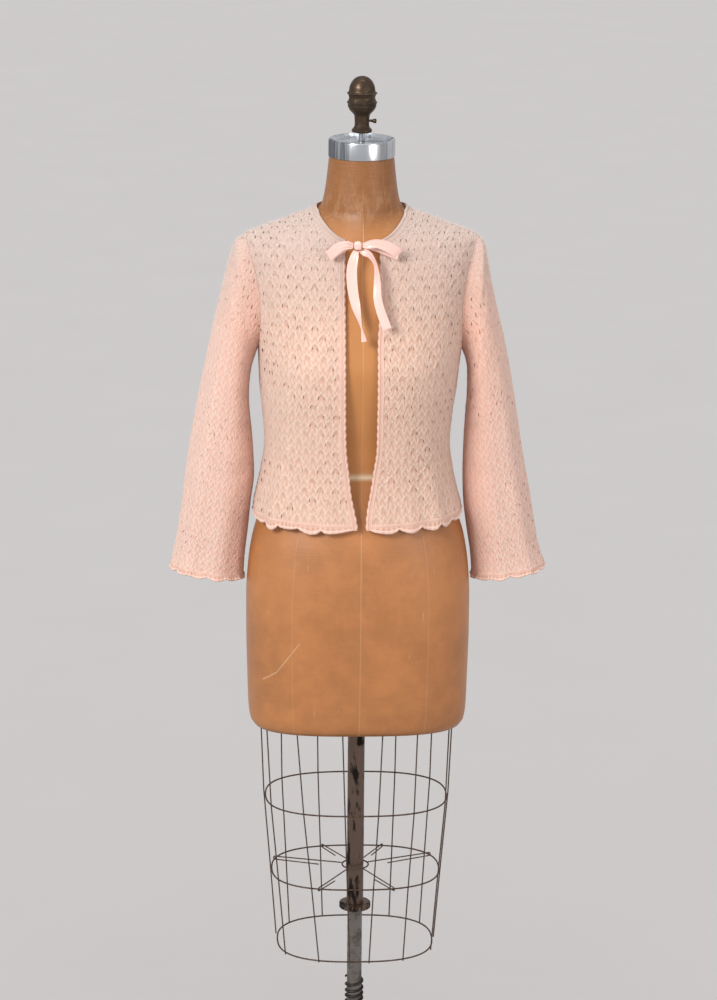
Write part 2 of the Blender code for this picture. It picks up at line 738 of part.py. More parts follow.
def build_front(side):
    cloth = Cloth()
    rows = panel_rows(cloth, outer_edge(1, side), inner_edge_front(side), FRONT_COLUMNS, side,
                      -SEAM / 2)
    if side < 0:
        rows = [row[::-1] for row in rows]
    cloth.grid(rows)
    name = "front_left" if side > 0 else "front_right"
    return cloth.wall(name, CLOTH, "lace_knit")


def build_back():
    cloth = Cloth()
    inner = inner_edge_back()
    left = panel_rows(cloth, outer_edge(-1, 1), inner, HALF_BACK_COLUMNS, 1, SEAM / 2)
    first = len(NECK_BACK) - 1
    shared = {k: left[k][0] for k in range(first, len(left))}
    right = panel_rows(cloth, outer_edge(-1, -1), inner, HALF_BACK_COLUMNS, -1, SEAM / 2, shared)
    cloth.grid([row[::-1] for row in left])
    cloth.grid(right)
    return cloth.wall("back", CLOTH, "lace_knit")


def sleeve_section(row, side):
    """Centre, outward half and half depth of a sleeve section."""
    outer_x = (row.outer_l if side > 0 else row.outer_r) * MM * side
    inner_x = (row.inner_l if side > 0 else row.inner_r) * MM * side
    outer = Vector((outer_x, 0, row.outer_z * MM))
    inner = Vector((inner_x, 0, row.inner_z * MM))
    centre = (outer + inner) / 2 + Vector((0, row.back * MM, 0))
    return centre, (outer - inner) / 2, row.half_depth * MM


def sleeve_ripple(turn, share):
    degrees = math.degrees(turn) % 360
    depth = 0.0
    for fold in SLEEVE_FOLDS:
        away = (degrees - fold.angle + 180) % 360 - 180
        depth += fold.depth * MM * soft_bump(away / fold.half_width)
    return depth * max(0.0, share - 0.25) / 0.75


def sleeve_point(row, side, turn, share):
    centre, out, depth = sleeve_section(row, side)
    cosine = signed_power(math.cos(turn), 2 / SLEEVE_POWER)
    sine = signed_power(math.sin(turn), 2 / SLEEVE_POWER)
    point = centre + out * cosine + Vector((0, -depth * sine, 0))
    inward = (centre - point).normalized()
    return point + inward * sleeve_ripple(turn, share)


def sleeve_ring(index, side, count=ARMHOLE_STEPS):
    """Points round one sleeve section. Section 0 is the armhole itself."""
    points = []
    for k in range(count):
        turn = 2 * math.pi * k / count
        if index == 0:
            angle, z = armhole_angle(turn if turn <= math.pi else turn - 2 * math.pi)
            point = body_point(JACKET, mirror_angle(angle, side), z)
            point.x += side * SEAM
        else:
            share = index / len(SLEEVE)
            point = sleeve_point(SLEEVE[index - 1], side, turn, share)
        points.append(point)
    return points


def ring_normals(rings, flat_first=False):
    """Outward normals of rings of points. The last ring's are level, for its seam."""
    normals = []
    count = len(rings[0])
    for i, ring in enumerate(rings):
        centre = sum(ring, Vector()) / count
        above = rings[max(i - 1, 0)]
        below = rings[min(i + 1, len(rings) - 1)]
        line = []
        for k in range(count):
            around = ring[(k + 1) % count] - ring[k - 1]
            if i == 0 and flat_first:
                normal = around.cross(Vector((1, 0, 0)))
            else:
                normal = around.cross(below[k] - above[k])
            if i == len(rings) - 1 or len(rings) == 2:
                normal.z = 0
            if normal.dot(ring[k] - centre) < 0:
                normal = -normal
            line.append(normal.normalized())
        normals.append(line)
    return normals


def ring_cloth(rings, normals, clockwise):
    cloth = Cloth()
    rows = []
    for ring, line in zip(rings, normals):
        rows.append([cloth.add(p, n) for p, n in zip(ring, line)])
    if clockwise:
        rows = [row[::-1] for row in rows]
    cloth.grid(rows, wrap=True)
    return cloth


def build_sleeve(side):
    rings = [sleeve_ring(index, side) for index in range(len(SLEEVE) + 1)]
    cloth = ring_cloth(rings, ring_normals(rings, flat_first=True), side > 0)
    name = "sleeve_left" if side > 0 else "sleeve_right"
    return cloth.wall(name, CLOTH, "sleeve_knit")


def scallop(position, count):
    """0 between two scallops and 1 at the middle of one."""
    return abs(math.sin(math.pi * position * count)) ** SCALLOP_ROUNDNESS


def build_cuff(side):
    steps = CUFF_SCALLOPS * SCALLOP_STEPS
    last = SLEEVE[-1]
    rings = []
    for level in range(2):
        ring = []
        for k in range(steps):
            turn = 2 * math.pi * k / steps
            point = sleeve_point(last, side, turn, 1.0)
            drop = CLEAR
            if level:
                drop = CUFF_TRIM + CUFF_SCALLOP * scallop(k / steps, CUFF_SCALLOPS)
            centre = sleeve_section(last, side)[0]
            flare = 1 + (CUFF_FLARE if level else 0.0)
            edge_height = point.z
            point = centre + (point - centre) * flare
            point.z = edge_height - drop
            ring.append(point)
        rings.append(ring)
    cloth = ring_cloth(rings, ring_normals(rings), side > 0)
    name = "cuff_edging_left" if side > 0 else "cuff_edging_right"
    return cloth.wall(name, EDGING, "edging_knit")


def height_on_line(line, angle):
    """The height at an angle on straight lines between (angle, height) points, going down."""
    for (first, high), (second, low) in zip(line, line[1:]):
        if angle >= second:
            return high + (low - high) * (first - angle) / (first - second)
    return line[-1][1]


def build_hem_edging():
    """The hem strip, from one front edging round the back to the other."""
    steps = HEM_SCALLOPS * SCALLOP_STEPS
    start = angle_from_x(opening_x(HEM_FRONT, 1) + FRONT_TRIM, HEM_FRONT, True)
    end = angle_from_x(-opening_x(HEM_FRONT, -1) - FRONT_TRIM, HEM_FRONT, True) - 2 * math.pi
    line = [(start, HEM_FRONT), (0.0, HEM_SIDES[1]), (-math.pi / 2, HEM_BACK),
            (-math.pi, HEM_SIDES[-1]), (end, HEM_FRONT)]
    cloth = Cloth()
    rows = [[], []]
    for k in range(steps + 1):
        angle = start + (end - start) * k / steps
        top = height_on_line(line, angle)
        low = top - HEM_TRIM - HEM_SCALLOP * scallop(k / steps, HEM_SCALLOPS)
        rows[0].append(jacket_cloth_point(cloth, angle, top - SEAM))
        rows[1].append(jacket_cloth_point(cloth, angle, low))
    cloth.grid(rows)
    return cloth.wall("hem_edging", EDGING, "edging_knit")


def build_front_edging(side):
    steps = FRONT_SCALLOPS * FRONT_SCALLOP_STEPS
    tops = (FRONT_TOP_OUTER * MM, FRONT_TOP_INNER * MM)
    low = HEM_FRONT - HEM_TRIM
    cloth = Cloth()
    rows = [[], []]
    for k in range(steps + 1):
        wave = FRONT_SCALLOP * (1 - scallop(k / steps, FRONT_SCALLOPS))
        for column, (top, inset) in enumerate(zip(tops, (FRONT_TRIM - SEAM, wave))):
            z = top + (low - top) * k / steps
            angle = angle_from_x(side * (opening_x(z, side) + inset), z, True)
            rows[column].append(jacket_cloth_point(cloth, angle, z))
    pairs = list(zip(*rows))
    if side > 0:
        pairs = [pair[::-1] for pair in pairs]
    cloth.grid(pairs)
    name = "front_edging_left" if side > 0 else "front_edging_right"
    return cloth.wall(name, EDGING, "edging_knit")


def neck_pair(row, side, front):
    """(angle, height) of the top and the foot of the neck band at one row."""
    pair = []
    for x, z in ((row.band_x, row.band_z), (row.panel_x, row.panel_z)):
        angle = angle_from_x(x * MM, z * MM, front)
        pair.append((mirror_angle(angle, side), z * MM))
    return pair


def build_neck_edging():
    """The neck band, from the wearer's right front corner round to the left one."""
    right = [NECK_CORNER] + NECK_FRONT[::-1]
    stations = [neck_pair(row, -1, True) for row in right]
    stations += [neck_pair(row, -1, False) for row in NECK_BACK[1:]]
    stations += [neck_pair(row, 1, False) for row in NECK_BACK[-2:0:-1]]
    stations += [neck_pair(row, 1, True) for row in NECK_FRONT + [NECK_CORNER]]
    cloth = Cloth()
    upper = []
    lower = []
    for top, foot in stations:
        upper.append(jacket_cloth_point(cloth, *top))
        point = body_point(JACKET, *foot)
        point += (body_point(JACKET, *top) - point).normalized() * SEAM
        lower.append(cloth.add(point, jacket_normal(*foot)))
    cloth.grid([upper[::-1], lower[::-1]])
    return cloth.wall("neck_edging", EDGING, "edging_knit")


def ribbon(name, rows):
    """A flat band through a table of rows, its width turned by across and lean."""
    points = []
    faces = []
    stations = []
    for k in range((len(rows) - 1) * RIBBON_STEPS + 1):
        index = min(k // RIBBON_STEPS, len(rows) - 2)
        share = k / RIBBON_STEPS - index
        stations.append(blend_rows(rows, index, share))
    for k, row in enumerate(stations):
        before = stations[max(k - 1, 0)]
        after = stations[min(k + 1, len(stations) - 1)]
        along = Vector((after.x - before.x, after.y - before.y, after.z - before.z)).normalized()
        across = math.radians(row.across)
        lean = math.radians(row.lean)
        width = Vector((math.cos(across) * math.cos(lean), -math.sin(lean),
                        math.sin(across) * math.cos(lean)))
        width = (width - along * width.dot(along)).normalized() * row.width * MM / 2
        normal = along.cross(width).normalized() * SATIN / 2
        centre = Vector((row.x, row.y, row.z)) * MM
        points += [centre - width - normal, centre + width - normal,
                   centre + width + normal, centre - width + normal]
    for k in range(len(stations) - 1):
        first = 4 * k
        for j in range(4):
            nxt = (j + 1) % 4
            faces.append((first + j, first + nxt, first + 4 + nxt, first + 4 + j))
    last = 4 * (len(stations) - 1)
    faces.append((3, 2, 1, 0))
    faces.append((last, last + 1, last + 2, last + 3))
    return add_mesh(name, points, faces, "satin")


def blend_rows(rows, index, share):
    """A row on a smooth curve through the table."""
    first = rows[max(index - 1, 0)]
    second = rows[index]
    third = rows[index + 1]
    fourth = rows[min(index + 2, len(rows) - 1)]
    values = []
    for a, b, c, d in zip(first, second, third, fourth):
        values.append(0.5 * (2 * b + (c - a) * share + (2 * a - 5 * b + 4 * c - d) * share ** 2
                             + (3 * b - a - 3 * c + d) * share ** 3))
    return second._make(values)


def loft(name, rings, look):
    """A closed solid through rings of equal point counts, lowest ring first."""
    count = len(rings[0])
    points = [point for ring in rings for point in ring]
    faces = [tuple(range(count))[::-1]]
    for i in range(len(rings) - 1):
        for k in range(count):
            nxt = (k + 1) % count
            a = i * count
            b = a + count
            faces.append((a + k, a + nxt, b + nxt, b + k))
    last = (len(rings) - 1) * count
    faces.append(tuple(range(last, last + count)))
    return add_mesh(name, points, faces, look)


def oval(half_width, half_depth, z, count, power=2.0):
    points = []
    for k in range(count):
        angle = 2 * math.pi * k / count
        x = half_width * signed_power(math.cos(angle), 2 / power)
        y = half_depth * signed_power(math.sin(angle), 2 / power)
        points.append(Vector((x, y, z)))
    return points


def build_torso():
    """The canvas form: torso, closed shoulders and neck in one smooth body."""
    rings = []
    for row in FORM:
        rings.append([body_point(FORM, -2 * math.pi * k / TORSO_SIDES, row.height * MM)
                      for k in range(TORSO_SIDES)])
    return loft("form_torso", rings, "canvas")


def build_cap_and_finial():
    rings = [oval(row.half_width * MM, row.half_depth * MM, row.height * MM, CAP_SIDES)
             for row in NECK_CAP]
    loft("neck_cap", rings, "polished_steel")
    rings = [oval(STEM_RADIUS, STEM_RADIUS, z, STEM_SIDES) for z in (STEM_BOTTOM, STEM_TOP)]
    loft("cap_stem", rings, "polished_steel")
    rings = [oval(row.radius * MM, row.radius * MM, row.height * MM, FINIAL_SIDES)
             for row in FINIAL]
    loft("finial", rings, "aged_brass")
    build_set_screw()


def build_set_screw():
    turn = math.radians(SCREW_ANGLE)
    along = Vector((math.cos(turn), math.sin(turn), 0))
    across = Vector((-math.sin(turn), math.cos(turn), 0))
    up = Vector((0, 0, 1))
    centre = Vector((0, 0, SCREW_HEIGHT))
    rings = []
    for row in SCREW:
        ring = []
        for k in range(SCREW_SIDES):
            angle = 2 * math.pi * k / SCREW_SIDES
            offset = (across * math.cos(angle) + up * math.sin(angle)) * row.radius * MM
            ring.append(centre + along * row.height * MM + offset)
        rings.append(ring)
    loft("set_screw", rings, "aged_brass")


def wire(name, path, radius, look, closed=False, sides=5):
    """A round wire along a path, closed into a ring or with flat ends."""
    count = len(path)
    points = []
    normal = Vector((0, 0, 1))
    for k, centre in enumerate(path):
        if closed:
            along = (path[(k + 1) % count] - path[k - 1]).normalized()
        else:
            along = (path[min(k + 1, count - 1)] - path[max(k - 1, 0)]).normalized()
        if k == 0 and abs(along.z) > 0.9:
            normal = Vector((1, 0, 0))
        normal = (normal - along * normal.dot(along)).normalized()
        side = along.cross(normal)
        for j in range(sides):
            angle = 2 * math.pi * j / sides
            points.append(centre + (normal * math.cos(angle) + side * math.sin(angle)) * radius)
    faces = []
    for k in range(count if closed else count - 1):
        a = k * sides
        b = ((k + 1) % count) * sides
        for j in range(sides):
            nxt = (j + 1) % sides
            faces.append((a + j, a + nxt, b + nxt, b + j))
    if not closed:
        last = (count - 1) * sides
        faces.append(tuple(range(sides))[::-1])
        faces.append(tuple(range(last, last + sides)))
    return add_mesh(name, points, faces, look)


def cage_point(ring, angle, outward=0.0):
    cosine = signed_power(math.cos(angle), 2 / CAGE_POWER)
    sine = signed_power(math.sin(angle), 2 / CAGE_POWER)
    x = (ring.half_width * MM + outward) * cosine
    y = -(ring.half_depth * MM + outward) * sine
    return Vector((x, y, ring.height * MM))


def build_cage():
    for ring in CAGE_RINGS:
        path = [cage_point(ring, 2 * math.pi * k / CAGE_RING_STEPS)
                for k in range(CAGE_RING_STEPS)]
        wire(ring.name, path, RING_WIRE, "rusty_wire", closed=True)
    outward = RING_WIRE + CLEAR + UPRIGHT_WIRE
    for number, upright in enumerate(UPRIGHTS, start=1):
        path = [cage_point(CAGE_TOP, math.radians(upright.top)) + Vector((0, 0, -CLEAR))]
        whole_drop = CAGE_TOP.height - CAGE_RINGS[-1].height
        for ring in CAGE_RINGS:
            share = (CAGE_TOP.height - ring.height) / whole_drop
            angle = math.radians(upright.top + (upright.foot - upright.top) * share)
            path.append(cage_point(ring, angle, outward))
        path[-1] += (path[-1] - path[-2]).normalized() * RING_WIRE
        wire("cage_upright_%02d" % number, path, UPRIGHT_WIRE, "rusty_wire")
    build_spider()


def build_spider():
    hub = oval(HUB_RADIUS, HUB_RADIUS, HUB_HEIGHT, HUB_STEPS)
    wire("cage_hub", hub, RING_WIRE, "rusty_wire", closed=True)
    ring = CAGE_RINGS[1]
    reach = RING_WIRE + CLEAR + ARM_WIRE
    up = Vector((0, 0, reach))
    for number, (degrees, doubled) in enumerate(zip(ARM_ANGLES, ARM_DOUBLED), start=1):
        end = cage_point(ring, math.radians(degrees))
        direction = Vector((end.x, end.y, 0)).normalized()
        start = direction * (HUB_RADIUS + RING_WIRE + CLEAR) + Vector((0, 0, HUB_HEIGHT))
        path = [start, end - direction * ARM_STRAIGHT_END + up]
        for step in range(ARM_BEND_STEPS + 1):
            turn = math.pi * (0.5 - step / ARM_BEND_STEPS)
            path.append(end + direction * reach * math.cos(turn) + up * math.sin(turn))
        back = start + (end - start) * (1 - doubled)
        back.z = end.z - up.z * ARM_DROP
        path.append(back)
        wire("cage_arm_%d" % number, path, ARM_WIRE, "rusty_wire")


def build_pole():
    top = TORSO_BOTTOM - CLEAR
    tube = [(top - BORE_DEPTH, TUBE_BORE), (TUBE_BOTTOM, TUBE_BORE), (TUBE_BOTTOM, TUBE_RADIUS),
            (top, TUBE_RADIUS)]
    ring_solid("upper_tube", tube, POLE_SIDES, "worn_tube")
    collar = [(COLLAR_BOTTOM, COLLAR_BORE), (COLLAR_BOTTOM, COLLAR_RADIUS),
              (COLLAR_TOP, COLLAR_RADIUS), (COLLAR_TOP, COLLAR_BORE)]
    ring_body("collar", collar, POLE_SIDES, "worn_tube")
    rod = [(SOCKET_FLOOR + CLEAR, ROD_RADIUS), (ROD_TOP, ROD_RADIUS)]
    ring_solid("lower_rod", rod, POLE_SIDES, "grey_steel")
    base = [(row.height * MM, row.radius * MM) for row in BASE]
    ring_solid("base", base, BASE_SIDES, "cast_iron")
    build_spring()


def ring_solid(name, profile, count, look):
    """A turned solid whose profile starts and ends in a flat disc."""
    return loft(name, [oval(radius, radius, z, count) for z, radius in profile], look)


def ring_body(name, profile, count, look):
    """A turned ring whose profile closes on itself round a through bore."""
    points = []
    for z, radius in profile:
        points += oval(radius, radius, z, count)
    faces = []
    levels = len(profile)
    for i in range(levels):
        a = i * count
        b = ((i + 1) % levels) * count
        for k in range(count):
            nxt = (k + 1) % count
            faces.append((a + k, a + nxt, b + nxt, b + k))
    return add_mesh(name, points, faces, look)


def build_spring():
    bottom = SOCKET_TOP + SPRING_WIRE + CLEAR
    steps = int(SPRING_TURNS * SPRING_STEPS)
    path = []
    for k in range(steps + 1):
        angle = 2 * math.pi * k / SPRING_STEPS
        share = k / steps
        # The end turns lie nearly flat, as on a ground spring
        eased = share + SPRING_EASE * math.sin(2 * math.pi * share)
        z = bottom + (SPRING_TOP - bottom) * eased
        path.append(Vector((SPRING_RADIUS * math.cos(angle), SPRING_RADIUS * math.sin(angle), z)))
    wire("spring", path, SPRING_WIRE, "grey_steel", sides=6)


def build_knot():
    rings = []
    for row in KNOT:
        ring = oval(KNOT_HALF.x * row.fullness, KNOT_HALF.y * row.fullness,
                    KNOT_HALF.z * row.share, KNOT_SIDES, KNOT_SQUARENESS)
        rings.append([KNOT_CENTRE + point for point in ring])
    loft("bow_knot", rings, "satin")


def build_bow():
    build_knot()
    ribbon("bow_loop_right", BOW_LOOP_RIGHT)
    ribbon("bow_loop_left", BOW_LOOP_LEFT)
    ribbon("bow_tail_right", BOW_TAIL_RIGHT)
    ribbon("bow_tail_left", BOW_TAIL_LEFT)
    ribbon("ribbon_lead_right", RIBBON_LEAD_RIGHT)
    ribbon("ribbon_lead_left", RIBBON_LEAD_LEFT)


def main():
    clear_scene()
    build_back()
    for side in (-1, 1):
        build_front(side)
        build_sleeve(side)
        build_cuff(side)
        build_front_edging(side)
    build_neck_edging()
    build_hem_edging()
    build_bow()
    build_torso()
    build_cap_and_finial()
    build_cage()
    build_pole()


main()
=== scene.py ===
"""The finished look of a lace-knit bed jacket on a dress form and a pole stand.

The knitted panels are laid out as a knitter works them: columns of stitches run up
the cloth and rows run across it, and a small half-drop leaf lace is charted over
both. Metres, +Z up, and the wearer faces -Y. Tables are in millimetres.
"""
import math
from collections import namedtuple
from functools import cache

import bmesh
import bpy
import numpy as np
from bpy.props import FloatProperty, FloatVectorProperty, IntProperty, PointerProperty
from mathutils import Matrix, Vector


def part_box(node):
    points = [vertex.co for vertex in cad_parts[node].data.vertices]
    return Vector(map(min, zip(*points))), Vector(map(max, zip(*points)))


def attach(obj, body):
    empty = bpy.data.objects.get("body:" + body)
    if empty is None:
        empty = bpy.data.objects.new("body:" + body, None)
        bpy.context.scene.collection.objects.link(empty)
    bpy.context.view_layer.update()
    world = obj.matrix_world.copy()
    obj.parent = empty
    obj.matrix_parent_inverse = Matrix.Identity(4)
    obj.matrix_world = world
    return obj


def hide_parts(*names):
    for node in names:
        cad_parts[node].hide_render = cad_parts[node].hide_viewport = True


bl_info = {
    "name": "Lace bed jacket on a dress form",
    "version": (1, 0, 0),
    "blender": (4, 5, 0),
    "location": "View3D > Sidebar > Bed jacket",
    "description": "Builds the knitted, woven, satin and metal surfaces round the packed model",
    "category": "Add Mesh",
}

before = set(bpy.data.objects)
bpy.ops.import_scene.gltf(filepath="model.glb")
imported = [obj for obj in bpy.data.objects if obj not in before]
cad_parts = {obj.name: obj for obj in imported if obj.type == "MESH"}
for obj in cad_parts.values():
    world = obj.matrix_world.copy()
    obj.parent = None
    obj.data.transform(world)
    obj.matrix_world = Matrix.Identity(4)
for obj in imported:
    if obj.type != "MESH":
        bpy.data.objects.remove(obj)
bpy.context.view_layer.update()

MM = 0.001
TURN = 2 * math.pi
CLOTH_UNIT = 100                # the cloth's own coordinates are in centimetres
FORM_BODY = "form"
STAND_BODY = "stand"
COLLAR_BODY = "height_collar"

# Heights and edges that the panels share
HEM = 940 * MM
HEM_FRONT = HEM - 1.5 * MM
HEM_SIDES = {1: HEM + 6 * MM, -1: HEM + 1 * MM}
UNDERARM = 1180 * MM
SHOULDER_TIP = 1353 * MM
ARMHOLE_RISE = 0.5 * (SHOULDER_TIP - UNDERARM)
ARMHOLE_FRONT = 49 * MM
ARMHOLE_BACK = 44 * MM
HEM_TRIM = 7 * MM
HEM_SCALLOP = 5 * MM
HEM_SCALLOPS = 25
CUFF_TRIM = 6 * MM
CUFF_SCALLOP = 4 * MM
CUFF_SCALLOPS = 12
FRONT_TRIM = 7.5 * MM
FRONT_BUMPS = 36
FRONT_TOPS = (1351.2 * MM, 1348.8 * MM)    # of the front edgings, at the seam and the free edge
SEAM = 0.4 * MM
CLEAR = 0.3 * MM
BUST_HEIGHT = 1163 * MM
BUST_SIDE = 76 * MM
BUST_RISE = 7 * MM
BUST_REACH = 42 * MM
PANEL_REACH = 0.29              # metres of cloth laid out from a panel's centre
PANEL_RISE = (-0.012, 0.56)     # and from the hem, as far as they may be needed
SLEEVE_REACH = 0.25             # and from a sleeve's top line
BODY_ROUND = 0.15               # metres of cloth to a radian round the body
SLEEVE_ROUND = 0.055            # and round a sleeve
SLEEVE_LONG = 0.5               # metres of sleeve to a share of 1
SLEEVE_POWER = 2.2
LEAF_BEND = 0.8                 # how much steeper a leaf's flanks are halfway up
STITCH = (0.29, 0.25)           # width and height of a stitch, in centimetres
SMALLEST_FLAT = 0.0101          # least width that a strip is declared with
KNOT_CENTRE = np.array([-8.0, -94.5, 1351.5]) * MM
KNOT_HALF = np.array([6.2, 5.6, 6.5]) * MM
TAPE = (1001.5 * MM, 1012.5 * MM)          # foot and head of the form's waist tape
TAPE_EDGE = 0.8 * MM
FORM_SEAMS = ((0.0, 1.0), (0.6, 0.5), (-0.6, 0.5))     # share of the half width, and depth
FLOOR_REACH = 60.0              # metres, so that its edge lies near the horizon

Section = namedtuple("Section", "height half_width front back power shift", defaults=(0,))
Fold = namedtuple("Fold", "angle half_width depth top")
Crease = namedtuple("Crease", "angle height angle_2 height_2 half_width depth")
NeckPoint = namedtuple("NeckPoint", "band_x band_z panel_x panel_z")
Opening = namedtuple("Opening", "height left right")
SleeveRow = namedtuple(
    "SleeveRow", "outer_l outer_r outer_z inner_l inner_r inner_z half_depth back")
SleeveFold = namedtuple("SleeveFold", "angle half_width depth")
RibbonRow = namedtuple("RibbonRow", "x y z width across lean", defaults=(0,))
CapRow = namedtuple("CapRow", "height half_width half_depth")
Turning = namedtuple("Turning", "height radius")


def table_of(kind, text):
    """A table's rows, with commas between them and their columns in the kind's order."""
    return [kind(*map(float, row.split())) for row in text.split(",")]


# Level sections of the form, then of the jacket's outer side
FORM = table_of(Section, """
    605 158 98 96 3, 613 163 103 101 3, 632 165.5 107 105 2.9, 680 167 113 112 2.7,
    750 168.5 120 121 2.6, 800 168.5 122.5 125 2.5, 850 165.5 120 123 2.45, 893 159 114 115 2.4,
    923 150 107 107 2.35, 960 136.5 99 95 2.3, 1005 121 93 84 2.25, 1050 124 97 85 2.25,
    1090 131 106 91 2.3, 1130 138 114 97 2.35, 1165 142 118 102 2.35, 1200 145.5 113.5 107 2.3,
    1240 149 106.5 108 2.3, 1280 154 98 104 2.3, 1310 162 89.5 98 2.2, 1330 168 82.5 91.5 2.1,
    1346 165.5 77 86.5 1.95, 1354.1 156.5 75 83.5 1.75, 1362 137.5 71.5 79.5 1.6, 1369.2 119 68 75.5 1.45,
    1377.2 99.2 64.5 70.5 1.36, 1386 75 60.2 64.5 1.4, 1391 61.5 58 61 1.7, 1401 56.5 55.5 58 2,
    1422 52.5 53.5 55 2, 1466.5 47.4 51 52 2""")
JACKET = table_of(Section, """
    925 157 117.5 114.5 2.4 -2, 940 156.5 116.5 112.5 2.4 -2, 965 151 114 107 2.4 -3,
    1000 143.5 113.5 102.5 2.35 -3, 1040 138.5 117 101 2.35 -3, 1085 141.5 122.5 103.5 2.35 -3,
    1130 147 126.5 108 2.35 -2, 1165 149.5 127 111.5 2.35 -1, 1200 152.5 121.5 114 2.3,
    1240 157 114 114.5 2.3, 1280 163 105.5 111 2.3, 1310 170 97 105 2.2,
    1330 174 90 98.5 2.1, 1345 173.5 84.5 93.5 1.95, 1353 168 81 90 1.8,
    1357 159 79 88 1.72, 1364.5 139.5 76 84.5 1.6, 1372 120 73 81 1.47,
    1380 100 69.5 76 1.36, 1389.5 75 65.5 70 1.4, 1396.5 66 63 66 1.7,
    1405 61.5 60 62.5 2""")

# Soft folds that run down to the hem, in degrees from the wearer's left side
BODY_FOLDS = table_of(Fold, """
    20 13 2 1080, 45 12 4.5 1120, 66 11 3 1060, 80 9 2.5 1040,
    103 9 3.5 1090, 122 12 3 1050, 141 11 5 1130, 162 12 2.5 1070,
    203 13 4 1100, 229 12 5 1140, 253 12 3.5 1070, 277 13 5 1120,
    301 12 3.5 1090, 326 13 5 1140""")
# Shorter creases, each a soft trough from one place to another
BODY_CREASES = table_of(Crease, """
    10 1176 34 1142 8 1.6, 6 1150 26 1108 9 1.2, 24 1262 38 1216 10 1,
    170 1174 148 1136 9 1.7, 174 1142 156 1104 8 1.1, 152 1268 140 1222 11 1.1,
    30 1030 52 1018 7 0.9, 150 1034 128 1012 8 1, 350 1172 322 1138 9 1.6,
    354 1128 330 1090 8 1.1, 190 1170 214 1132 9 1.5, 188 1120 212 1078 9 1.2,
    238 1040 262 1022 8 1.1, 300 1046 280 1020 8 1, 255 1330 285 1326 10 1.2""")

# The neck edging's upper edge and the panels' neck edge, from the shoulder in
NECK_FRONT = table_of(NeckPoint, """
    66 1396.5 72.3 1390.7, 64 1390.5 70.5 1386.2, 59.5 1382.5 65.5 1378,
    52.5 1374.5 58.5 1369.8, 45.5 1368 50.5 1363, 38 1362.5 42 1357,
    31.5 1359 33.5 1352.5""")
NECK_BACK = table_of(NeckPoint, """
    66 1396.5 72.3 1390.7, 61.5 1395 67 1388.8, 50 1393.5 55 1387,
    36 1392.5 40 1385.5, 18 1391.7 20 1384.5, 0 1391.5 0 1384.2""")
NECK_CORNER = NeckPoint(25.0, 1356.5, 25.5, 1349.5)    # where the neck edging ends in front
# How far each front's edge stands from the middle
FRONT_OPENING = table_of(Opening, """
    1352 24.5 25.5, 1325 24.5 26, 1280 25.5 26, 1205 21.5 25.5,
    1130 22 25, 1060 22 23.5, 1012 16.5 18.5, 985 12.5 15.5,
    960 8.5 10.5, 940 7 6.5, 925 7 5.5""")

# Sleeve sections down to the cuff; outer and inner side, wearer's left and right
SLEEVE = table_of(SleeveRow, """
    181 183 1341.5 156 156 1166 50 -2, 186 192 1318 159 160 1152 53 -1,
    192.5 200 1287 160 162.5 1135 55 0, 202 210.5 1245 160 164 1112 56 2,
    213.5 221 1200 158.5 163 1085 55 4, 224.5 232 1148 157 160 1055 54 6,
    235 244 1088 156 157.5 1020 53 8, 246 255.5 1022 156 156.5 982 51 9,
    258 263.5 960 158 161.5 942 50 10, 266 269.5 914 163.5 165.5 901 49 11,
    273.5 276.5 876 169.5 170 864 48 12, 282.5 282.5 849 172 172 834 48 12""")
SLEEVE_FOLDS = table_of(SleeveFold, """
    35 24 2.5, 80 22 3.5, 130 24 2.5,
    215 24 3, 262 22 3.5, 315 24 2.5""")
# Sleeve creases, in degrees round it and shares of its length
SLEEVE_CREASES = table_of(Crease, """
    150 0.2 95 0.33 9 1.6, 160 0.33 100 0.42 8 1.8, 165 0.47 110 0.53 8 1.4,
    150 0.62 90 0.7 10 1.2, 30 0.12 80 0.22 11 1.1, 210 0.22 262 0.35 9 1.6,
    198 0.38 256 0.46 9 1.7, 205 0.55 270 0.63 9 1.3, 330 0.14 285 0.24 11 1""")

# Turned profiles of the metal parts
NECK_CAP = table_of(CapRow, """
    1466.8 47.4 51.4, 1466.8 48.6 52.6, 1489.5 48.6 52.6, 1491.8 47.8 51.8,
    1492.4 46.2 50.2, 1491.6 44.4 48.4, 1487.6 40 44, 1486.8 30 33,
    1488.4 14 15, 1488.4 0 0""")
FINIAL = table_of(Turning, """
    1501 0, 1501 12.5, 1502.2 14.6, 1504.8 14.8, 1507.4 12.6, 1511 10.8,
    1523 11, 1527.5 12.4, 1533 17.6, 1539 20.6, 1542.6 20.9, 1544.6 22.2,
    1546.6 20.6, 1551.5 19, 1556.4 20.6, 1558.4 22.3, 1560.4 19.6, 1568 18.2,
    1575.5 14.6, 1580.5 9, 1582.5 3.5, 1582.9 0""")
BASE = table_of(Turning, """
    0 0, 0 190, 7 190, 12 183, 17 130, 24 70,
    34 30, 44 21, 108 18.5, 112 17, 112 11.8, 60 11.8,
    60 0""")

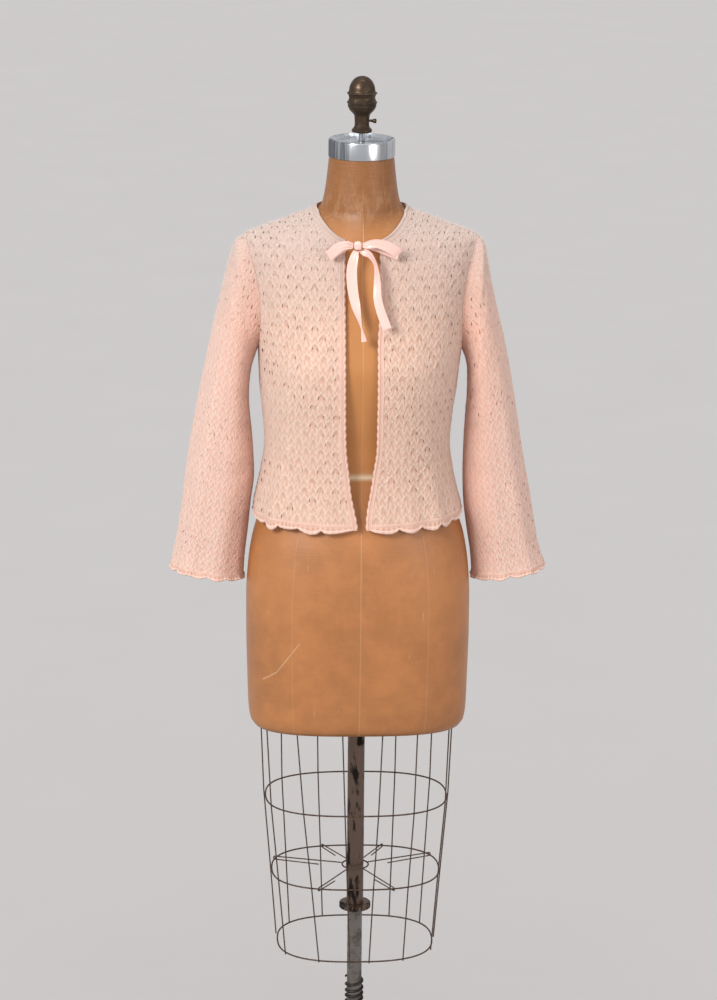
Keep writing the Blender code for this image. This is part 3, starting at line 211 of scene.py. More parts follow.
# The ribbon lengths: middle line, width, direction across and lean, in degrees
BOW = {
    "bow_loop_right": table_of(RibbonRow, """
        -14.8 -97.5 1352.3 6 91, -18 -99.5 1352.5 9 95, -25 -103 1353.8 12 104, -34 -104 1351.5 14 116,
        -43 -103 1344.5 15 122, -49 -100.5 1339 15 124, -51 -98 1337 15 124, -48.5 -95.5 1338 15 124,
        -40 -94 1342.5 14 120, -29 -94 1348 12 108, -19.5 -94 1351 8 96, -14.8 -94 1351.3 6 91"""),
    "bow_loop_left": table_of(RibbonRow, """
        -1.2 -97.5 1352.3 6 89, 2 -99.5 1352.6 9 87, 9 -103 1355 12 82, 20 -104.5 1356.5 13 76,
        34 -104.5 1352.5 15 62, 46 -102.5 1345 15 55, 52 -99 1340 15 52, 48 -95.5 1339.5 15 55,
        36 -94 1343.5 14 62, 20 -94 1348.5 12 74, 3.5 -94 1351 8 87, -1.2 -94 1351.3 6 89"""),
    "bow_tail_right": table_of(RibbonRow, """
        -10.5 -97 1344.3 8 6, -13.5 -101 1336 12 8, -17 -106.5 1318 15 4, -16 -113 1294 15 0,
        -11.5 -119.5 1270 13 4 10, -6 -124.5 1250 9 20 40, -2.5 -128 1236 8 12 68, -0.5 -130 1226 10 4 52,
        1 -131.5 1218.5 11 -4 40"""),
    "bow_tail_left": table_of(RibbonRow, """
        -5.5 -93 1344.3 7 -8, 1 -96 1342.5 10 -2 20, 10 -101.5 1338.5 12 4 45, 17.5 -107.5 1325 12 -2 60,
        19.5 -115 1302 13 -4 45, 20 -121 1281 13 6 25, 24.5 -126 1262 13 18 10, 31.5 -130 1243 13 22,
        34 -131 1237 13 24"""),
    "ribbon_lead_right": table_of(RibbonRow, """
        -23.7 -79.2 1353.1 7 90 -29, -21 -83.5 1353 7 90 -16, -14.8 -91.2 1352 7 90"""),
    "ribbon_lead_left": table_of(RibbonRow, """
        24 -78.9 1353.1 7 90 -29, 13 -85.5 1353 7 90 -12, -1.2 -91.2 1352 7 90"""),
}


def length_setting(name, description, millimetres):
    return FloatProperty(name=name, description=description, default=millimetres * MM,
                         unit="LENGTH")


def colour_setting(name, description, *colour):
    return FloatVectorProperty(name=name, description=description, subtype="COLOR",
                               default=colour, min=0, max=1)


def power_setting(name, description, watts):
    return FloatProperty(name=name, description=description, default=watts, unit="POWER")


class KnitSize(bpy.types.PropertyGroup):
    leaf_width: length_setting("Leaf repeat width", "Distance between two leaves of one row", 20.4)
    leaf_height: length_setting("Leaf repeat height",
                                "Distance between two leaves of one column", 25.2)
    cells_across: IntProperty(name="Mesh cells across",
                              description="Mesh cells over the repeat's width", default=14)
    cells_up: IntProperty(name="Mesh cells up",
                          description="Mesh cells over the repeat's height", default=20)
    stretch: FloatProperty(name="Body stretch",
                           description="How far the form stretches the body's knit", default=1.15)
    relief: length_setting("Relief", "Height of a leaf's raised edge over its grooves", 2.0)
    eyelet_width: length_setting("Eyelet width", "Widest opening of an eyelet", 0.85)
    sink: length_setting("Sink", "How far the grooves lie inside the panel's outer side", 1.8)
    fibres: IntProperty(name="Nap fibres", description="Loose mohair hairs on the cloth",
                        default=42000)
    fibre_length: length_setting("Fibre length", "Longest hair of the nap", 10)


class Colours(bpy.types.PropertyGroup):
    body: colour_setting("Body knit", "Yarn of the fronts and the back", 0.89, 0.64, 0.53)
    # The body's own yarn, painted paler and pinker: painted light for the brighter light and warm glow on
    # the sleeves
    sleeve: colour_setting("Sleeve knit", "Yarn of the sleeves", 0.97, 0.68, 0.595)
    # A little more orange than the body knit: partly the edging's own yarn, partly painted shade for the
    # edge beside the opening
    edging: colour_setting("Edging", "Yarn of the crocheted edgings", 0.90, 0.61, 0.505)
    satin: colour_setting("Satin", "The ribbon", 0.84, 0.57, 0.505)
    canvas: colour_setting("Canvas", "The form's varnished cloth", 0.36, 0.143, 0.045)
    backdrop: colour_setting("Backdrop", "The floor round the form", 0.93, 0.905, 0.90)


class StageSize(bpy.types.PropertyGroup):
    key: power_setting("Key light", "Power of the large light at the left", 166.0)
    fill: power_setting("Fill light", "Power of the light at the right", 48.0)
    top: power_setting("Top light", "Power of the light above", 22.0)


def knit():
    return bpy.context.scene.jacket_knit


def colours():
    return bpy.context.scene.jacket_colours


def handed(name, side):
    return name + ("_left" if side > 0 else "_right")


def stacked(*coordinates):
    return np.stack(np.broadcast_arrays(*coordinates), axis=-1)


class SmoothTable:
    """A table's columns on smooth curves that never overshoot."""

    def __init__(self, table, key):
        table = sorted(table, key=lambda row: getattr(row, key))
        self.keys = np.array([getattr(row, key) for row in table])
        self.values = {}
        self.slopes = {}
        for name in table[0]._fields:
            values = np.array([getattr(row, name) for row in table])
            chords = np.diff(values) / np.diff(self.keys)
            below = chords[:-1]
            above = chords[1:]
            total = np.where(np.abs(below + above) < 1e-12, 1.0, below + above)
            inner = np.where(below * above > 0, 2 * below * above / total, 0.0)
            self.values[name] = values
            self.slopes[name] = np.concatenate([chords[:1], inner, chords[-1:]])

    def read(self, name, place):
        keys = self.keys
        place = np.clip(place, keys[0], keys[-1])
        index = np.clip(np.searchsorted(keys, place, side="right") - 1, 0, len(keys) - 2)
        span = keys[index + 1] - keys[index]
        s = (place - keys[index]) / span
        values = self.values[name]
        slopes = self.slopes[name]
        return (values[index] * (2 * s ** 3 - 3 * s ** 2 + 1)
                + slopes[index] * span * (s ** 3 - 2 * s ** 2 + s)
                + values[index + 1] * (3 * s ** 2 - 2 * s ** 3)
                + slopes[index + 1] * span * (s ** 3 - s ** 2))


FORM_TABLE = SmoothTable(FORM, "height")
JACKET_TABLE = SmoothTable(JACKET, "height")
OPENING_TABLE = SmoothTable(FRONT_OPENING, "height")


def signed_power(value, power):
    return np.sign(value) * np.abs(value) ** power


def soft_bump(distance):
    """1 at 0, falling smoothly to 0 at a distance of 1."""
    return 0.5 + 0.5 * np.cos(math.pi * np.clip(np.abs(distance), 0.0, 1.0))


def smooth_step(value, low, high):
    share = np.clip((value - low) / (high - low), 0.0, 1.0)
    return share * share * (3 - 2 * share)


def bust(x, z):
    rise = 0.0
    for side in (-1, 1):
        away = ((x - side * BUST_SIDE) ** 2 + (z - BUST_HEIGHT) ** 2) / BUST_REACH ** 2
        rise = rise + BUST_RISE * np.exp(-0.5 * away)
    return rise


def turn_away(degrees, centre):
    return (degrees - centre + 180) % 360 - 180


def fold_depth(angle, z):
    depth = 0.0
    for fold in BODY_FOLDS:
        top = fold.top * MM
        drop = np.clip((top - z) / (top - HEM), 0.0, 1.15)
        away = turn_away(np.degrees(angle), fold.angle)
        depth = depth + fold.depth * MM * soft_bump(away / fold.half_width) * drop ** 1.4
    return depth


def creases(table, angle, up, reach, unit_up):
    """Depth of soft troughs that taper at both ends.

    reach is metres to a radian, and unit_up metres to a unit of the table's heights.
    """
    total = 0.0
    for row in table:
        across = np.radians(turn_away(np.degrees(angle), row.angle)) * reach
        above = up - row.height * unit_up
        run = np.array([math.radians(turn_away(row.angle_2, row.angle)) * reach,
                        (row.height_2 - row.height) * unit_up])
        length = np.linalg.norm(run)
        share = (across * run[0] + above * run[1]) / length ** 2
        aside = np.abs(above * run[0] - across * run[1]) / length
        taper = smooth_step(share, -0.25, 0.3) * (1 - smooth_step(share, 0.65, 1.25))
        total = total + row.depth * MM * soft_bump(aside / (2 * row.half_width * MM)) * taper
    return total


def body_surface(table, angle, z, folds):
    """Points of the form or the jacket: angle 0 is +X, a quarter turn is the front."""
    height = z / MM
    power = 2 / table.read("power", height)
    cosine = signed_power(np.cos(angle), power)
    sine = signed_power(np.sin(angle), power)
    depth = np.where(sine > 0, table.read("front", height), table.read("back", height)) * MM
    x = (table.read("shift", height) + table.read("half_width", height) * cosine) * MM
    y = -depth * sine - np.where(sine > 0, bust(x, z) * np.minimum(1.0, 2 * np.abs(sine)), 0.0)
    if folds:
        out = fold_depth(angle, z) - creases(BODY_CREASES, angle, z, BODY_ROUND, MM)
        out = out / np.hypot(cosine, sine)
        x = x + out * cosine
        y = y - out * sine
    return stacked(x, y, z)


def unit(vectors):
    length = np.linalg.norm(vectors, axis=-1, keepdims=True)
    return vectors / np.maximum(length, 1e-12)


def body_frame(table, angle, z, folds):
    """Points with their outward normals and the direction of a growing angle."""
    step = 0.004
    rise = 0.8 * MM
    across = (body_surface(table, angle + step, z, folds)
              - body_surface(table, angle - step, z, folds))
    up = (body_surface(table, angle, z + rise, folds)
          - body_surface(table, angle, z - rise, folds))
    return body_surface(table, angle, z, folds), unit(np.cross(up, across)), unit(across)


def angle_from_x(x, z, front):
    height = z / MM
    share = (x / MM - JACKET_TABLE.read("shift", height)) / JACKET_TABLE.read("half_width", height)
    power = JACKET_TABLE.read("power", height) / 2
    angle = np.arccos(signed_power(np.clip(share, -1.0, 1.0), power))
    return angle if front else -angle


def mirror_angle(angle, side):
    return angle if side > 0 else math.pi - angle


def armhole_angle(turn):
    """Angle and height on the wearer's left armhole: turn 0 is the shoulder tip."""
    z = UNDERARM + ARMHOLE_RISE * (1 + np.cos(turn))
    sine = np.sin(turn)
    height = z / MM
    share = np.where(sine > 0, ARMHOLE_FRONT * sine / JACKET_TABLE.read("front", height),
                     ARMHOLE_BACK * sine / JACKET_TABLE.read("back", height)) / MM
    return np.arcsin(signed_power(share, JACKET_TABLE.read("power", height) / 2)), z


def opening_x(z, side):
    return OPENING_TABLE.read("left" if side > 0 else "right", z / MM) * MM


def lace_chart(s, t, fuzz):
    """The leaf lace's height at cloth places s across and t up.

    Leaves sit in columns, each column half a repeat below the next. A raised edge
    like an inverted V caps each leaf, and an eyelet lies under each of its flanks.
    """
    p = s / knit().leaf_width
    r = t / knit().leaf_height
    leaves = []
    for shift in (0.5, 0.0):
        up = (r + shift) % 1 - 0.5
        flank = 2 * np.abs(up)
        flank = flank + LEAF_BEND / TURN * np.sin(TURN * flank)
        leaves.append((2 * np.abs((p + shift) % 1 - 0.5) + flank, up))
    (m_1, up_1), (m_2, up_2) = leaves
    m = np.minimum(m_1, m_2)
    up = np.where(m_1 <= m_2, up_1, up_2)
    # Each inverted V is strongest below its point and fades out down its arms
    down_arm = 1 - (2 * r) % 1
    strong = (1 - 0.75 * smooth_step(down_arm, 0.45, 1.0)) * smooth_step(down_arm, 0.0, 0.10)
    plain = np.interp(m, [0, 0.5, 0.8, 1.0], [0.60, 0.54, 0.50, 0.56])
    upper = np.interp(m, [0, 0.40, 0.60, 0.76, 0.90, 1.0], [0.70, 0.60, 0.26, 0.02, 0.62, 0.92])
    lower = np.interp(m, [0, 0.5, 0.78, 0.90, 1.0], [0.66, 0.56, 0.36, 0.62, 0.92])
    marked = lower + (upper - lower) * smooth_step(up, -0.05, 0.05)
    return plain + (marked - plain) * strong + 0.26 * (fuzz - 0.5)


def value_noise(x, y, seed):
    """Smooth noise from 0 to 1 with features one unit across."""
    size = 256
    grid = np.random.default_rng(seed).random((size, size))
    xi = np.floor(x).astype(int)
    yi = np.floor(y).astype(int)
    fx = smooth_step(x - xi, 0, 1)
    fy = smooth_step(y - yi, 0, 1)
    corner = [[grid[(xi + i) % size, (yi + j) % size] for i in (0, 1)] for j in (0, 1)]
    low, high = (pair[0] * (1 - fx) + pair[1] * fx for pair in corner)
    return low * (1 - fy) + high * fy


def eyelets(columns, rows, openness):
    """Which faces of a knit grid are open, and how far its points move aside for them."""
    sizes = knit()
    cell = sizes.leaf_width / sizes.cells_across
    open_faces = np.zeros((len(rows) - 1, len(columns) - 1), bool)
    aside = np.zeros((len(rows), len(columns)))
    tall = 4                    # rows of faces in an eyelet
    column_place = columns % sizes.cells_across
    row_place = rows % sizes.cells_up
    for half in (0, 1):
        for flank in (-1, 1):
            left = 2 if flank > 0 else sizes.cells_across - 3
            left += half * (sizes.cells_across // 2)
            for step in range(tall + 1):
                row_hit = row_place == (2 + half * (sizes.cells_up // 2) + step) % sizes.cells_up
                share = (step / tall - 0.5) * 2
                wide = math.sqrt(max(0.0, 1 - share * share))
                for offset, sign, strength in ((0, -1, 1.0), (1, 1, 1.0), (-1, -1, 0.35),
                                               (2, 1, 0.35)):
                    amount = (sign * (wide * sizes.eyelet_width / 2 - cell / 2)
                              - flank * share * 0.55 * cell)
                    hit = column_place == (left + offset) % sizes.cells_across
                    aside[np.ix_(row_hit, hit)] = amount * strength
                if step < tall:
                    hit = column_place[:-1] == left % sizes.cells_across
                    open_faces[np.ix_(row_hit[:-1], hit)] = True
    small = openness < 0.5
    open_faces &= ~(small[:-1, :-1] & small[1:, 1:])
    return open_faces, aside * np.clip(openness * 1.6, 0.25, 1.2)


def placed(name, data):
    """A new object in the scene."""
    item = bpy.data.objects.new(name, data)
    bpy.context.scene.collection.objects.link(item)
    return item


def mesh_piece(name, points, faces, material, uv=None, tone=None):
    """An object from an array of points and lists of faces. uv and tone are the points' own."""
    mesh = bpy.data.meshes.new(name)
    mesh.from_pydata(points.reshape(-1, 3).tolist(), [], faces)
    mesh.materials.append(material)
    mesh.shade_smooth()
    if uv is not None:
        corners = np.zeros(len(mesh.loops), np.int32)
        mesh.loops.foreach_get("vertex_index", corners)
        layer = mesh.uv_layers.new(name="knit")
        layer.data.foreach_set("uv", uv.reshape(-1, 2)[corners].astype(np.float32).ravel())
    if tone is not None:
        attribute = mesh.attributes.new("tone", "FLOAT", "POINT")
        attribute.data.foreach_set("value", tone.astype(np.float32).ravel())
    mesh.update()
    return placed(name, mesh)


def grid_faces(row_count, column_count, wrap=False):
    """Corner numbers of a grid's faces, as an array of shape (rows, columns, 4)."""
    number = np.arange(row_count * column_count).reshape(row_count, column_count)
    right = np.roll(number, -1, axis=1) if wrap else number[:, 1:]
    left = number if wrap else number[:, :-1]
    return np.stack([left[:-1], right[:-1], right[1:], left[1:]], axis=-1)


def grid_piece(name, points, material, uv=None, tone=None, wrap=False):
    faces = grid_faces(*points.shape[:2], wrap).reshape(-1, 4).tolist()
    return mesh_piece(name, points, faces, material, uv, tone)


def knit_piece(name, material, points, uv, tone, edge, open_faces, flip):
    """A knitted panel from a grid of points, cut along its edges and eyelets.

    edge holds a number over 0 at the points that were moved onto an edge, and a
    face whose corners all lie on one edge is left out.
    """
    faces = grid_faces(*edge.shape)
    corner_edges = edge.ravel()[faces]
    same = (corner_edges == corner_edges[..., :1]).all(axis=-1) & (corner_edges[..., 0] > 0)
    near_edge = (corner_edges > 0).any(axis=-1)
    faces = faces[~same & ~(open_faces & ~near_edge)]
    flat = points.reshape(-1, 3)
    keys = np.round(flat / (0.02 * MM)).astype(np.int64)
    unused, first, inverse = np.unique(keys, axis=0, return_index=True, return_inverse=True)
    faces = inverse.reshape(-1)[faces]
    if flip:
        faces = faces[:, ::-1]
    outlines = [list(dict.fromkeys(face)) for face in faces.tolist()]
    outlines = [face for face in outlines if len(face) > 2]
    used = np.unique(np.concatenate(outlines))
    renumber = np.full(len(first), -1)
    renumber[used] = np.arange(len(used))
    outlines = [renumber[face].tolist() for face in outlines]
    source = first[used]
    return mesh_piece(name, flat[source], outlines, material, uv.reshape(-1, 2)[source],
                      tone.ravel()[source])


def running_sum(steps, axis):
    """Lengths from the start along an axis, one longer than the steps."""
    pad = [(0, 0), (0, 0)]
    pad[axis] = (1, 0)
    return np.pad(np.cumsum(steps, axis=axis), pad)


def by_column(where, keys, values):
    """np.interp for each column: any of the three may be a table of columns."""
    count = max(np.shape(item)[1] for item in (where, keys, values) if np.ndim(item) == 2)

    def column(item, j):
        return item[:, j] if np.ndim(item) == 2 else item

    return np.array([np.interp(column(where, j), column(keys, j), column(values, j))
                     for j in range(count)]).T


class PanelMap:
    """Turns cloth places (s, t) of one panel into angles and heights on the jacket."""

    def __init__(self, side, front, s):
        self.side = side
        self.front = front
        self.s = s
        self.levels = np.concatenate([np.linspace(0.925, 1.30, 220),
                                      np.linspace(1.301, 1.345, 80),
                                      np.linspace(1.3452, 1.3975, 340)])
        self.turns = 0.25 * math.pi * (1 + np.cos(np.linspace(0, math.pi, 221)))
        steps = np.diff(self.surface(self.turns[None, :], self.levels[:, None]), axis=1)
        depth_share = 1 - 0.9 * smooth_step(self.levels, 1.26, 1.345)[:, None]
        lengths = np.sqrt(steps[..., 0] ** 2 + depth_share * steps[..., 1] ** 2)
        self.across = running_sum(lengths, 1)
        self.turn_at = np.array([np.interp(s, row, self.turns) for row in self.across])
        points = self.surface(self.turn_at, self.levels[:, None])
        up = running_sum(np.linalg.norm(np.diff(points, axis=0), axis=-1), 0)
        self.up = up - by_column(HEM, self.levels, up)

    def actual(self, turn):
        return mirror_angle(turn if self.front else -turn, self.side)

    def surface(self, turn, z):
        return body_surface(JACKET_TABLE, self.actual(turn), z, True)

    def place(self, turn, z):
        """Cloth places of points given by turn and height."""
        level = np.interp(z, self.levels, np.arange(len(self.levels)))
        low = np.minimum(level.astype(int), len(self.levels) - 2)
        share = level - low
        s = np.zeros(len(z))
        t = np.zeros(len(z))
        for k, row in enumerate(low):
            pair = [np.interp(-turn[k], -self.turns, self.across[row + n]) for n in (0, 1)]
            s[k] = pair[0] + (pair[1] - pair[0]) * share[k]
            column = min(s[k] / self.s[1], len(self.s) - 1.001)
            left = int(column)
            near = self.up[row:row + 2, left:left + 2]
            line = near[:, 0] + (near[:, 1] - near[:, 0]) * (column - left)
            t[k] = line[0] + (line[1] - line[0]) * share[k]
        return s, t


def turn_from_x(x, z, side, front):
    if front:
        return mirror_angle(angle_from_x(side * x, z, True), side)
    return angle_from_x(x, z, True)


def top_edge(side, front):
    """Turn and height along the neck from the centre out, then down the shoulder seam."""
    table = np.array(NECK_FRONT if front else NECK_BACK)
    place = np.linspace(0, len(table) - 1, 6 * (len(table) - 1) + 1)
    x, z = (np.interp(place, np.arange(len(table)), table[:, k]) * MM for k in (2, 3))
    turn = turn_from_x(x, z, side, front)
    turn[0] = 0.0
    seam_z = np.linspace(z[0], SHOULDER_TIP, 60)[1:]
    return (np.concatenate([turn[::-1], np.zeros(len(seam_z))]),
            np.concatenate([z[::-1], seam_z]))


def outer_edge(side, front):
    """Turn and height up the side seam and the armhole."""
    z = np.linspace(HEM_SIDES[side], UNDERARM, 80)
    arm = np.linspace(math.pi, 0.0, 120)[1:]
    angle, arm_z = armhole_angle(arm if front else -arm)
    return np.concatenate([np.zeros(len(z)), np.abs(angle)]), np.concatenate([z, arm_z])


def inner_edge(side):
    """Turn and height up a front's opening."""
    z = np.linspace(HEM_FRONT, NECK_FRONT[-1].panel_z * MM, 160)
    return turn_from_x(opening_x(z, side) + FRONT_TRIM, z, side, True), z


def panel_grid(side, front, s, t):
    """Turn, height and edge number of a panel's grid points."""
    chart = PanelMap(side, front, s)
    z = by_column(t, chart.up, chart.levels)
    turn = by_column(z, chart.levels, chart.turn_at)
    edge = np.zeros(z.shape, int)

    def move(beyond, new_turn, new_z, number):
        turn[beyond] = np.broadcast_to(new_turn, z.shape)[beyond]
        z[beyond] = np.broadcast_to(new_z, z.shape)[beyond]
        edge[beyond] = number

    sides = [(2, 1, outer_edge(side, front))]
    if front:
        sides.append((1, -1, inner_edge(side)))
    for number, way, (edge_turn, edge_z) in sides:
        edge_s, edge_t = chart.place(edge_turn, edge_z)
        limit = np.interp(t, edge_t, edge_s)[:, None]
        move(way * s > way * limit, np.interp(t, edge_t, edge_turn)[:, None],
             np.interp(t, edge_t, edge_z)[:, None], number)
    edge_turn, edge_z = top_edge(side, front)
    edge_s, edge_t = chart.place(edge_turn, edge_z)
    move((t[:, None] > np.interp(s, edge_s, edge_t)) & (edge == 0),
         np.interp(s, edge_s, edge_turn), np.interp(s, edge_s, edge_z), 3)
    middle = 0.5 * math.pi
    centre_z = HEM
    if front:
        middle = turn_from_x(opening_x(HEM_FRONT, side) + FRONT_TRIM, HEM_FRONT, side, True)
        centre_z = HEM_FRONT
    hem_turn = by_column(HEM, chart.levels, chart.turn_at)
    hem_z = HEM_SIDES[side] + (centre_z - HEM_SIDES[side]) * np.clip(hem_turn / middle, 0, 1)
    hem_t = by_column(hem_z[None], chart.levels, chart.up)[0]
    move((t[:, None] < hem_t) & (edge == 0), hem_turn, hem_z, 4)
    return chart.actual(turn), z, edge


def beside_edge(edge):
    """The points next to an edge, where the seam's rolled stitches stand up."""
    on = edge > 0
    near = on.copy()
    near[1:] |= on[:-1]
    near[:-1] |= on[1:]
    near[:, 1:] |= on[:, :-1]
    near[:, :-1] |= on[:, 1:]
    return near & ~on


NAP_SOURCES = []


def knit_up(name, part, grid, columns, rows, seed, openness_bias, share, stretch, flip):
    points, normals, aside_way, edge = grid
    sizes = knit()
    cell = sizes.leaf_width * stretch / sizes.cells_across
    rise = sizes.leaf_height * stretch / sizes.cells_up
    s, t = np.meshgrid(columns * cell, rows * rise)

    def noise(across, up, start, number):
        return value_noise(s / across + start, t / up + start, seed + number)

    openness = 0.5 * (noise(0.011, 0.013, 40, 0) + noise(0.05, 0.06, 20, 1)) + openness_bias(t)
    open_faces, aside = eyelets(columns, rows, openness)
    # The hand-knitted repeat wanders a little, so no two leaves are quite alike
    chart_s = s / stretch + 4.2 * MM * (noise(0.017, 0.021, 50, 3) - 0.5)
    chart_t = t / stretch + 5.0 * MM * (noise(0.019, 0.017, 30, 4) - 0.5)
    height = lace_chart(chart_s, chart_t, noise(0.0035, 0.0045, 90, 2))
    height = 0.55 + (height - 0.55) * (0.55 + 0.75 * noise(0.03, 0.03, 10, 5))
    height = 0.6 + (height - 0.6) * share
    height = np.where(beside_edge(edge), 0.7, height)
    aside = np.where(edge > 0, 0.0, aside)
    lift = np.where(edge > 0, -0.15 * MM, height * sizes.relief - sizes.sink)
    points = points + aside_way * aside[..., None] + normals * lift[..., None]
    piece = knit_piece(name + "_lace", lace_material(part), points,
                       stacked(chart_s, chart_t) * CLOTH_UNIT, height, edge, open_faces, flip)
    inside = edge == 0
    NAP_SOURCES.append((points[inside], normals[inside]))
    settle(piece, FORM_BODY, name)
    float(inside.sum() * cell * rise)


def mirrored_halves(first, second):
    """Two half grids side by side that share their middle column."""
    return [np.concatenate([a[:, :0:-1], b], axis=1) for a, b in zip(first, second)]


def build_panel(name, front, side, seed):
    """A front, or with side 0 the whole back."""
    sizes = knit()
    cell = sizes.leaf_width * sizes.stretch / sizes.cells_across
    rise = sizes.leaf_height * sizes.stretch / sizes.cells_up
    columns = np.arange(int(PANEL_REACH / cell))
    rows = np.arange(math.floor(PANEL_RISE[0] / rise) - 1, math.ceil(PANEL_RISE[1] / rise) + 1)
    halves = []
    for half in ([side] if side else [-1, 1]):
        angle, z, edge = panel_grid(half, front, columns * cell, rows * rise)
        points, normals, way = body_frame(JACKET_TABLE, angle, z, True)
        halves.append((points, normals, -way if front else way, edge))
    if side:
        grid = [array[:, ::side] for array in halves[0]]
        columns = side * columns[::side]
    else:
        grid = mirrored_halves(*halves)
        columns = np.arange(1 - len(columns), len(columns))
    knit_up(name, "body", grid, columns, rows, seed,
            lambda t: 0.22 * smooth_step(t, 0.22, 0.36) - 0.04, 1.0, sizes.stretch, not front)


def settle(piece, body, node):
    """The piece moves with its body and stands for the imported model's own solid."""
    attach(piece, body)
    if node:
        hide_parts(node)


def sleeve_ends(row, side):
    """The outer and the inner side of a sleeve section."""
    outer_x, inner_x = (row.outer_l, row.inner_l) if side > 0 else (row.outer_r, row.inner_r)
    return (np.array([outer_x * side, 0, row.outer_z]) * MM,
            np.array([inner_x * side, 0, row.inner_z]) * MM)


def sleeve_ring(row, side, turns, share):
    outer, inner = sleeve_ends(row, side)
    centre = (outer + inner) / 2 + np.array([0, row.back * MM, 0])
    cosine = signed_power(np.cos(turns), 2 / SLEEVE_POWER)[:, None]
    sine = signed_power(np.sin(turns), 2 / SLEEVE_POWER)[:, None]
    points = (centre + (outer - inner) / 2 * cosine
              + np.array([0, -row.half_depth * MM, 0]) * sine)
    depth = 0.0
    for fold in SLEEVE_FOLDS:
        away = turn_away(np.degrees(turns), fold.angle)
        depth = depth + fold.depth * MM * soft_bump(away / fold.half_width)
    depth = depth * max(0.0, share - 0.25) / 0.75
    return points + unit(centre - points) * depth[:, None]


def smooth_rows(table, steps):
    """Rows on a smooth curve through a table, with their places counted in its rows."""
    table = np.array(table)
    padded = np.concatenate([table[:1], table, table[-1:]])
    place = np.linspace(0, len(table) - 1, (len(table) - 1) * steps + 1)
    index = np.clip(place.astype(int), 0, len(table) - 2)
    u = (place - index).reshape(-1, *[1] * (table.ndim - 1))
    p0, p1, p2, p3 = (padded[index + k] for k in range(4))
    return place, 0.5 * (2 * p1 + (p2 - p0) * u + (2 * p0 - 5 * p1 + 4 * p2 - p3) * u ** 2
                         + (3 * p1 - p0 - 3 * p2 + p3) * u ** 3)


class SleeveHalf:
    """The front or back half of a sleeve on a fine grid of sections and turns."""

    def __init__(self, side, half):
        self.turns = half * np.linspace(0, math.pi, 181)
        angle, z = armhole_angle(self.turns)
        rings = [body_surface(JACKET_TABLE, mirror_angle(angle, side), z, True)]
        for index, row in enumerate(SLEEVE, start=1):
            rings.append(sleeve_ring(row, side, self.turns, index / len(SLEEVE)))
        points = smooth_rows(rings, 16)[1]
        normals = unit(np.cross(np.gradient(points, axis=0), np.gradient(points, axis=1)))
        outward = (normals * (points - 0.5 * (points[:, :1] + points[:, -1:]))).sum(axis=-1)
        self.normals = normals * np.sign(outward[:, 60:120].mean())
        up = np.linspace(0, 1, len(points))[:, None] * SLEEVE_LONG
        depth = creases(SLEEVE_CREASES, self.turns[None, :], up, SLEEVE_ROUND, SLEEVE_LONG)
        self.points = points - self.normals * depth[..., None]
        self.q = np.arange(len(points), dtype=float)

    def read(self, array, q, n):
        q0 = np.clip(q.astype(int), 0, array.shape[0] - 2)
        n0 = np.clip(n.astype(int), 0, array.shape[1] - 2)
        fq = (q - q0)[..., None]
        fn = (n - n0)[..., None]
        top, low = (array[q0 + k, n0] * (1 - fn) + array[q0 + k, n0 + 1] * fn for k in (0, 1))
        return top * (1 - fq) + low * fq


def sleeve_half_grid(half, start, axis, t, s):
    """Section, turn number and edge of a half sleeve's grid points."""
    along = np.maximum.accumulate((half.points - start) @ axis, axis=0)
    numbers = np.arange(len(half.turns), dtype=float)
    q_at = by_column(t, along, half.q)
    level = half.read(half.points, q_at, np.broadcast_to(numbers, q_at.shape))
    around = running_sum(np.linalg.norm(np.diff(level, axis=1), axis=-1), 1)
    edge_n = np.interp(t, np.maximum.accumulate(along[0]), numbers)
    q = np.zeros((len(t), len(s)))
    n = np.zeros((len(t), len(s)))
    edge = np.zeros((len(t), len(s)), int)
    for i in range(len(t)):
        n[i] = np.interp(s, around[i], numbers)
        q[i] = np.interp(n[i], numbers, q_at[i])
        beyond = s > np.interp(edge_n[i], numbers, around[i])
        n[i, beyond] = edge_n[i]
        q[i, beyond] = q_at[i, -1] if edge_n[i] >= numbers[-1] - 1e-6 else 0.0
        edge[i, beyond] = 2
        edge[i, q[i] >= half.q[-1] - 1e-6] = 4
    return q, n, edge


def build_sleeve(side):
    sizes = knit()
    cell = sizes.leaf_width / sizes.cells_across
    rise = sizes.leaf_height / sizes.cells_up
    front = SleeveHalf(side, 1)
    back = SleeveHalf(side, -1)
    start = front.points[0, 0]
    axis = unit(front.points[-1, 0] - start)
    longest = max(((half.points - start) @ axis).max() for half in (front, back))
    rows = np.arange(math.ceil(longest / rise) + 2)
    columns = np.arange(int(SLEEVE_REACH / cell))
    halves = []
    for half, way_sign in ((back, -1), (front, 1)):
        q, n, edge = sleeve_half_grid(half, start, axis, rows * rise, columns * cell)
        way = unit(half.read(np.gradient(half.points, axis=1), q, n)) * way_sign
        halves.append((half.read(half.points, q, n), unit(half.read(half.normals, q, n)), way,
                       edge))
    grid = [array[::-1] for array in mirrored_halves(*halves)]
    knit_up(handed("sleeve", side), "sleeve", grid, np.arange(1 - len(columns), len(columns)),
            -rows[::-1], 70 + side, lambda t: -0.14, 0.62, 1.0, side > 0)


